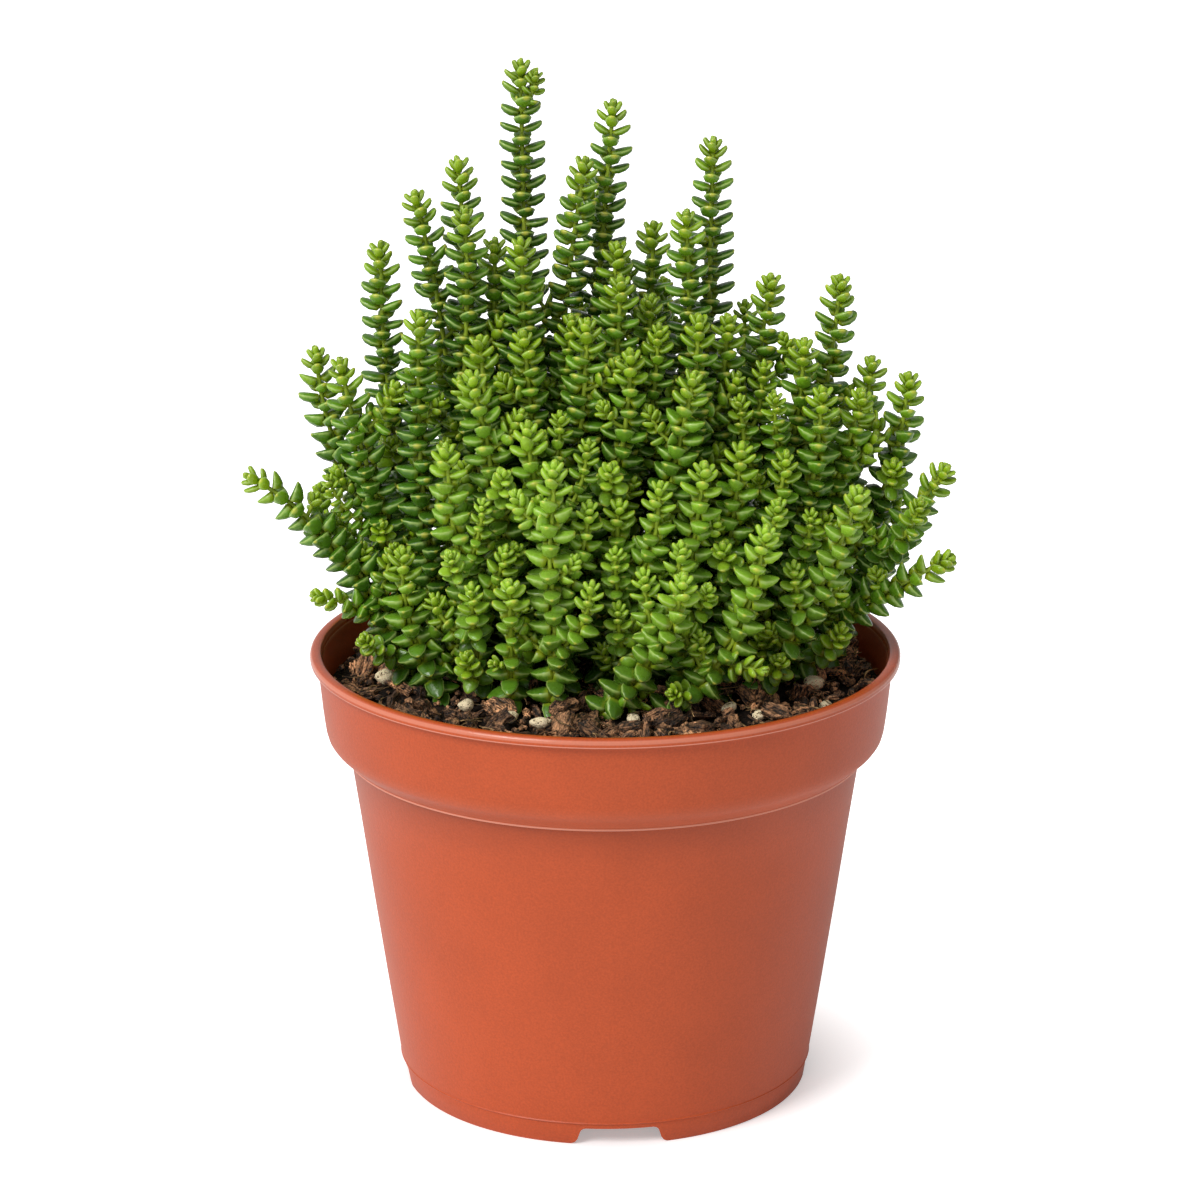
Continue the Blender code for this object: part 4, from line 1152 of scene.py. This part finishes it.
def modelLump(name, cuts):
    selectNone()
    bpy.ops.mesh.primitive_ico_sphere_add(subdivisions=cuts, radius=0.5)
    piece = startPiece(name)
    editAll()
    bpy.ops.transform.vertex_random(offset=0.05, seed=5)
    scaleVerts(piece, lambda v: v.co.z < 0, (0.9, 0.9, 0.8))
    closeShape(piece)
    return takeTemplate(piece)


def modelFibre():
    # a thin strand, cut into short lengths and tapered at both ends
    selectNone()
    bpy.ops.mesh.primitive_cylinder_add(vertices=5, radius=0.5, depth=1)
    piece = startPiece("fibre")
    editAll()
    bpy.ops.transform.rotate(value=math.pi / 2, orient_axis="Y", center_override=(0, 0, 0))
    for place in (-0.33, -0.17, 0.0, 0.17, 0.33):
        bpy.ops.mesh.select_all(action="SELECT")
        bpy.ops.mesh.bisect(plane_co=(place, 0, 0), plane_no=(1, 0, 0))
    scaleVerts(piece, lambda v: abs(v.co.x) > 0.25, (1.0, 0.7, 0.7))
    scaleVerts(piece, lambda v: abs(v.co.x) > 0.45, (1.0, 0.45, 0.45))
    closeShape(piece)
    return takeTemplate(piece)


def keepInPot(corners):
    # slides a shape inwards until it is clear of the pot's wall
    radius = np.hypot(corners[:, 0], corners[:, 1])
    far = int(np.argmax(radius))
    over = radius[far] - bed["wallRadius"]
    if over > 0:
        corners = corners - np.array([*(corners[far, :2] / radius[far] * over), 0.0])
    return corners


def lay(heap, rng, shape, size, place, turn, tilt, rise, depth, tone, roll=0.0):
    corners = roughen(shape["corners"] * size, rng, depth)
    far = np.linalg.norm(corners / (0.5 * np.array(size)), axis=1)
    worn = np.clip((far - np.percentile(far, 35)) / max(np.ptp(far), 1e-6) * 1.6, 0.0, 1.0)
    grain = corners + rng.uniform(-40.0, 40.0, 3)
    placed = turned(corners, turn, tilt, roll)
    ground = float(mixHeight(*place))
    placed = keepInPot(placed + np.array([place[0], place[1], ground + rise]))
    heap.add(placed, shape["faces"], grainPlace=grain, pieceTone=tone, wornEdge=worn)


def scatter(rng, count, outer):
    # places spread over the mix, evenly by area
    angle = rng.uniform(0.0, math.tau, count)
    radius = np.sqrt(rng.uniform(0.0, outer ** 2, count))
    return np.stack([radius * np.cos(angle), radius * np.sin(angle)], axis=1)


def nearest(spots, place):
    return np.linalg.norm(spots - place, axis=1).min()


def modelBed(plan):
    # the body of the mix: rings up the wall, then over the top to its middle
    selectNone()
    bpy.ops.mesh.primitive_circle_add(vertices=plan["segments"], radius=plan["rings"][0][0] * mm,
                                      location=(0, 0, plan["rings"][0][1] * mm), fill_type="NGON")
    piece = startPiece("mixBed")
    applyPlace()
    editAll()
    bpy.ops.mesh.select_mode(type="EDGE")
    top = [(plan["topRadius"] * (1 - i / plan["topRings"]), mix["edgeHeight"])
           for i in range(plan["topRings"])]
    extrudeRings([*plan["rings"][1:], plan["edge"], *top], plan["rings"][0])
    bpy.ops.mesh.merge(type="CENTER")
    closeShape(piece)
    rng = np.random.default_rng(plan["seed"])
    waves = [(rng.normal(0.0, 1.0, 2) * rng.uniform(0.5, 1.6), rng.uniform(0.0, math.tau))
             for wave in range(plan["topWaves"])]
    for vert in piece.data.vertices:
        x, y, z = vert.co / mm
        if z > mix["edgeHeight"] - 0.1:
            rough = sum(math.sin(x * w[0] + y * w[1] + phase) for w, phase in waves) / len(waves)
            vert.co.z = (float(mixHeight(x, y)) - plan["topSunk"] + plan["topRough"] * rough) * mm
    return piece


def barkFinish(name, light, dark):
    finish, tree, shader = newFinish(name, bed["roughness"], 0.4)
    grain = addNode(tree, "ShaderNodeAttribute", attribute_name="grainPlace").outputs["Vector"]
    along = addNode(tree, "ShaderNodeMapping", {"Vector": grain, "Scale": (0.3, 1.0, 1.0)}).outputs[0]
    streak = mottle(tree, along, 1.3, 2.6, 0.55)
    speck = mottle(tree, grain, 0.5, 6.0, 0.4)
    middle = tuple(0.4 * a + 0.6 * b for a, b in zip(light, dark))
    colour = ramp(tree, streak["Mixed"], ((0.42, dark), (0.49, middle), (0.57, light)))
    shade = ramp(tree, paintedValue(tree, "pieceTone"), ((0.0, 0.22), (0.75, 1.1), (1.0, 2.5)))
    colour = tinted(tree, colour, shade)
    worn = ramp(tree, paintedValue(tree, "wornEdge"), ((0.68, 0.0), (1.0, 0.65)))
    colour = mixColour(tree, worn, colour, tuple(min(1.0, c * 1.7) for c in light))
    patch = ramp(tree, speck["Mixed"], ((0.40, 0.16), (0.58, 1.25)))
    colour = tinted(tree, colour, patch)
    tree.links.new(colour, shader.inputs["Base Color"])
    tree.links.new(ramp(tree, speck["Broad"], ((0.35, 0.38), (0.6, 0.85))), shader.inputs["Roughness"])
    relief(tree, shader, streak["Mixed"], 0.0012, 1.0)
    return finish


def bedFinish():
    finish, tree, shader = newFinish("darkMixGapShade", 0.9, 0.25)
    place = onPiece(tree)
    noise = mottle(tree, place, 500.0, 3.0, 0.5)
    # the mix's own dark brown, taken down to near-black as painted shade in the gaps between the pieces
    # lying on it
    colour = ramp(tree, noise["Mixed"], ((0.40, (0.004, 0.002, 0.001)), (0.6, (0.020, 0.010, 0.005)),
                                         (0.75, (0.08, 0.045, 0.02))))
    tree.links.new(colour, shader.inputs["Base Color"])
    relief(tree, shader, noise["Mixed"], 0.0012, 1.0)
    return finish


def pumiceFinish():
    finish, tree, shader = newFinish("paleGrain", 0.85, 0.3)
    grain = addNode(tree, "ShaderNodeAttribute", attribute_name="grainPlace").outputs["Vector"]
    noise = mottle(tree, grain, 1.3, 3.0, 0.45)
    # cream grain with dark spots painted in as the shade inside its pores
    colour = ramp(tree, noise["Mixed"], ((0.36, (0.05, 0.03, 0.012)), (0.41, (0.46, 0.36, 0.20)),
                                         (0.48, (0.95, 0.79, 0.52))))
    shade = ramp(tree, paintedValue(tree, "pieceTone"), ((0.0, 0.75), (1.0, 1.25)))
    colour = tinted(tree, colour, shade)
    tree.links.new(colour, shader.inputs["Base Color"])
    relief(tree, shader, noise["Mixed"], 0.001, 1.0)
    return finish


mixBed = modelBed(bed)
mixBed.data.materials.clear()
mixBed.data.materials.append(bedFinish())
selectOnly(mixBed)
bpy.ops.object.shade_smooth()

chipShape, flakeShape, fibreShape = modelChip(), modelFlake(), modelFibre()
crumbShape, grainShape = modelLump("crumb", 1), modelLump("grain", 3)
barkBrown = barkFinish("barkBrown", (0.52, 0.26, 0.125), (0.008, 0.0035, 0.0015))
strawBrown = barkFinish("strawBrown", (0.42, 0.26, 0.11), (0.10, 0.05, 0.02))
paleGrain = pumiceFinish()

rng = np.random.default_rng(bed["seed"])
chipHeap, crumbHeap, grainHeap, fibreHeap = Heap(), Heap(), Heap(), Heap()
feet = np.array([s["route"][0][:2] for s in shoots if s["mother"] is None])
shownSpots = np.array([row[1] for row in shownPieces])
for kind, place, size, turn, tilt, rise in shownPieces:
    shape = {"grain": grainShape, "chip": chipShape, "flake": flakeShape}[kind]
    heap = grainHeap if kind == "grain" else chipHeap
    lay(heap, rng, shape, size, place, math.radians(turn), math.radians(-tilt), rise,
        0.17 if kind == "grain" else 0.4, rng.uniform(0.6, 1.0))
for place in scatter(rng, bed["chips"], bed["reach"]):
    length = rng.uniform(*(bed["chipLength"] if rng.uniform() < bed["shortShare"] else bed["longChip"]))
    flat = rng.uniform() < bed["flatShare"]
    width = length * rng.uniform(0.4, 0.7)
    size = (length, width, rng.uniform(0.8, 1.4) if flat else length * rng.uniform(0.3, 0.5))
    if nearest(feet, place) < 1.2 + 0.2 * length or nearest(shownSpots, place) < 3.0:
        continue
    lay(chipHeap, rng, flakeShape if flat else chipShape, size, place, rng.uniform(0.0, math.tau),
        rng.normal(0.0, 0.5), rng.uniform(0.0, 2.2), rng.uniform(0.2, 0.5), rng.uniform(0.0, 1.0),
        rng.normal(0.0, 0.6))
for place in scatter(rng, bed["crumbs"], bed["crumbReach"]):
    size = rng.uniform(*bed["crumbSize"]) * rng.uniform(0.6, 1.3, 3)
    lay(crumbHeap, rng, crumbShape, size, place, rng.uniform(0.0, math.tau), rng.uniform(-0.5, 0.5),
        rng.uniform(-0.2, 1.2), 0.15, rng.uniform(0.0, 1.0))
for place in scatter(rng, bed["grains"], bed["reach"]):
    size = rng.uniform(*bed["grainSize"]) * rng.uniform(0.75, 1.1, 3)
    if min(nearest(feet, place), nearest(shownSpots, place)) < 4.0:
        continue
    lay(grainHeap, rng, grainShape, size, place, rng.uniform(0.0, math.tau), 0.0, rng.uniform(0.1, 1.0), 0.1,
        rng.uniform(0.0, 1.0))
for place in scatter(rng, bed["fibres"], bed["reach"]):
    length = rng.uniform(*bed["fibreLength"])
    bend = rng.uniform(-0.25, 0.25, 2)
    bent = fibreShape["corners"] * np.array([length, rng.uniform(0.25, 0.5), rng.uniform(0.2, 0.4)])
    arch = length * np.cos(bent[:, 0] / length * math.pi)
    bent[:, 1] += bend[0] * arch
    bent[:, 2] += bend[1] * 0.4 * arch
    lay(fibreHeap, rng, {"corners": bent, "faces": fibreShape["faces"]}, (1.0, 1.0, 1.0), place,
        rng.uniform(0.0, math.tau), rng.uniform(-0.2, 0.2), rng.uniform(1.4, 2.8), 0.02,
        rng.uniform(0.2, 1.0))

barkChips = chipHeap.asPiece("barkChips", [barkBrown], False)
mixCrumbs = crumbHeap.asPiece("mixCrumbs", [barkBrown], False)
pumiceGrains = grainHeap.asPiece("pumiceGrains", [paleGrain])
mixFibres = fibreHeap.asPiece("mixFibres", [strawBrown])
for piece in (mixBed, barkChips, mixCrumbs, pumiceGrains, mixFibres):
    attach(piece, "root")
    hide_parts("soil")
    print(piece.name, len(piece.data.polygons), "faces")


# Floor and light
studio = {
    "floorSize": 8.0,
    "floorColour": (0.85, 0.85, 0.85),
    "glow": (0.35, 0.8),
    "bounce": 0.16,
    "glowReach": (0.041, 0.062),
    "brightSide": (-0.85, -0.15, 0.5),
    "skyBright": 0.82,
    "skyDim": 0.10,
    "key": {"from": (-0.68, -0.72, 0.9), "softness": 26.0, "strength": 2.0},
}


def addFloor(plan):
    selectNone()
    bpy.ops.mesh.primitive_plane_add(size=plan["floorSize"])
    floor = startPiece("floor")
    finish, tree, shader = newFinish("paleFloor", 0.6, 0.2)
    place = onPiece(tree)
    noise = mottle(tree, place, 3.0)
    lighter = tuple(c * 1.02 for c in plan["floorColour"])
    tone = ramp(tree, noise["Mixed"], ((0.0, plan["floorColour"]), (1.0, lighter)))
    tree.links.new(tone, shader.inputs["Base Color"])
    # the white ground glows, less so right at the pot's foot and far less for the light it throws back up
    away = addNode(tree, "ShaderNodeVectorMath", {0: place}, operation="LENGTH").outputs["Value"]
    glow = mapRange(tree, away, plan["glowReach"], plan["glow"])
    seen = addNode(tree, "ShaderNodeLightPath").outputs["Is Camera Ray"]
    seen = mapRange(tree, seen, (0.0, 1.0), (plan["bounce"], 1.0))
    glow = addNode(tree, "ShaderNodeMath", {0: glow, 1: seen}, operation="MULTIPLY").outputs["Value"]
    shader.inputs["Emission Color"].default_value = (1.0, 1.0, 1.0, 1.0)
    tree.links.new(glow, shader.inputs["Emission Strength"])
    floor.data.materials.append(finish)


def lightDome(tree, plan):
    # brightest above on the left, dimmest low on the right
    heading = addNode(tree, "ShaderNodeTexCoord").outputs["Generated"]
    side = tuple(Vector(plan["brightSide"]).normalized())
    facing = addNode(tree, "ShaderNodeVectorMath", {0: heading, 1: side}, operation="DOT_PRODUCT")
    share = mapRange(tree, facing.outputs["Value"], (-1.0, 1.0), (plan["skyDim"], plan["skyBright"]))
    tree.links.new(share, tree.nodes["Background"].inputs["Strength"])
    tree.nodes["Background"].inputs["Color"].default_value = (1.0, 1.0, 1.0, 1.0)


addFloor(studio)
bpy.ops.object.light_add(type="SUN")
keyLight = bpy.context.object
keyLight.name = "keyLight"
keyLight.data.energy = studio["key"]["strength"]
keyLight.data.angle = math.radians(studio["key"]["softness"])
keyLight.rotation_euler = Vector(studio["key"]["from"]).to_track_quat("Z", "Y").to_euler()
sky = bpy.data.worlds.new("studioSky")
sky.use_nodes = True
lightDome(sky.node_tree, studio)
bpy.context.scene.world = sky
bpy.context.scene.view_settings.view_transform = "Standard"
print("studio lit")
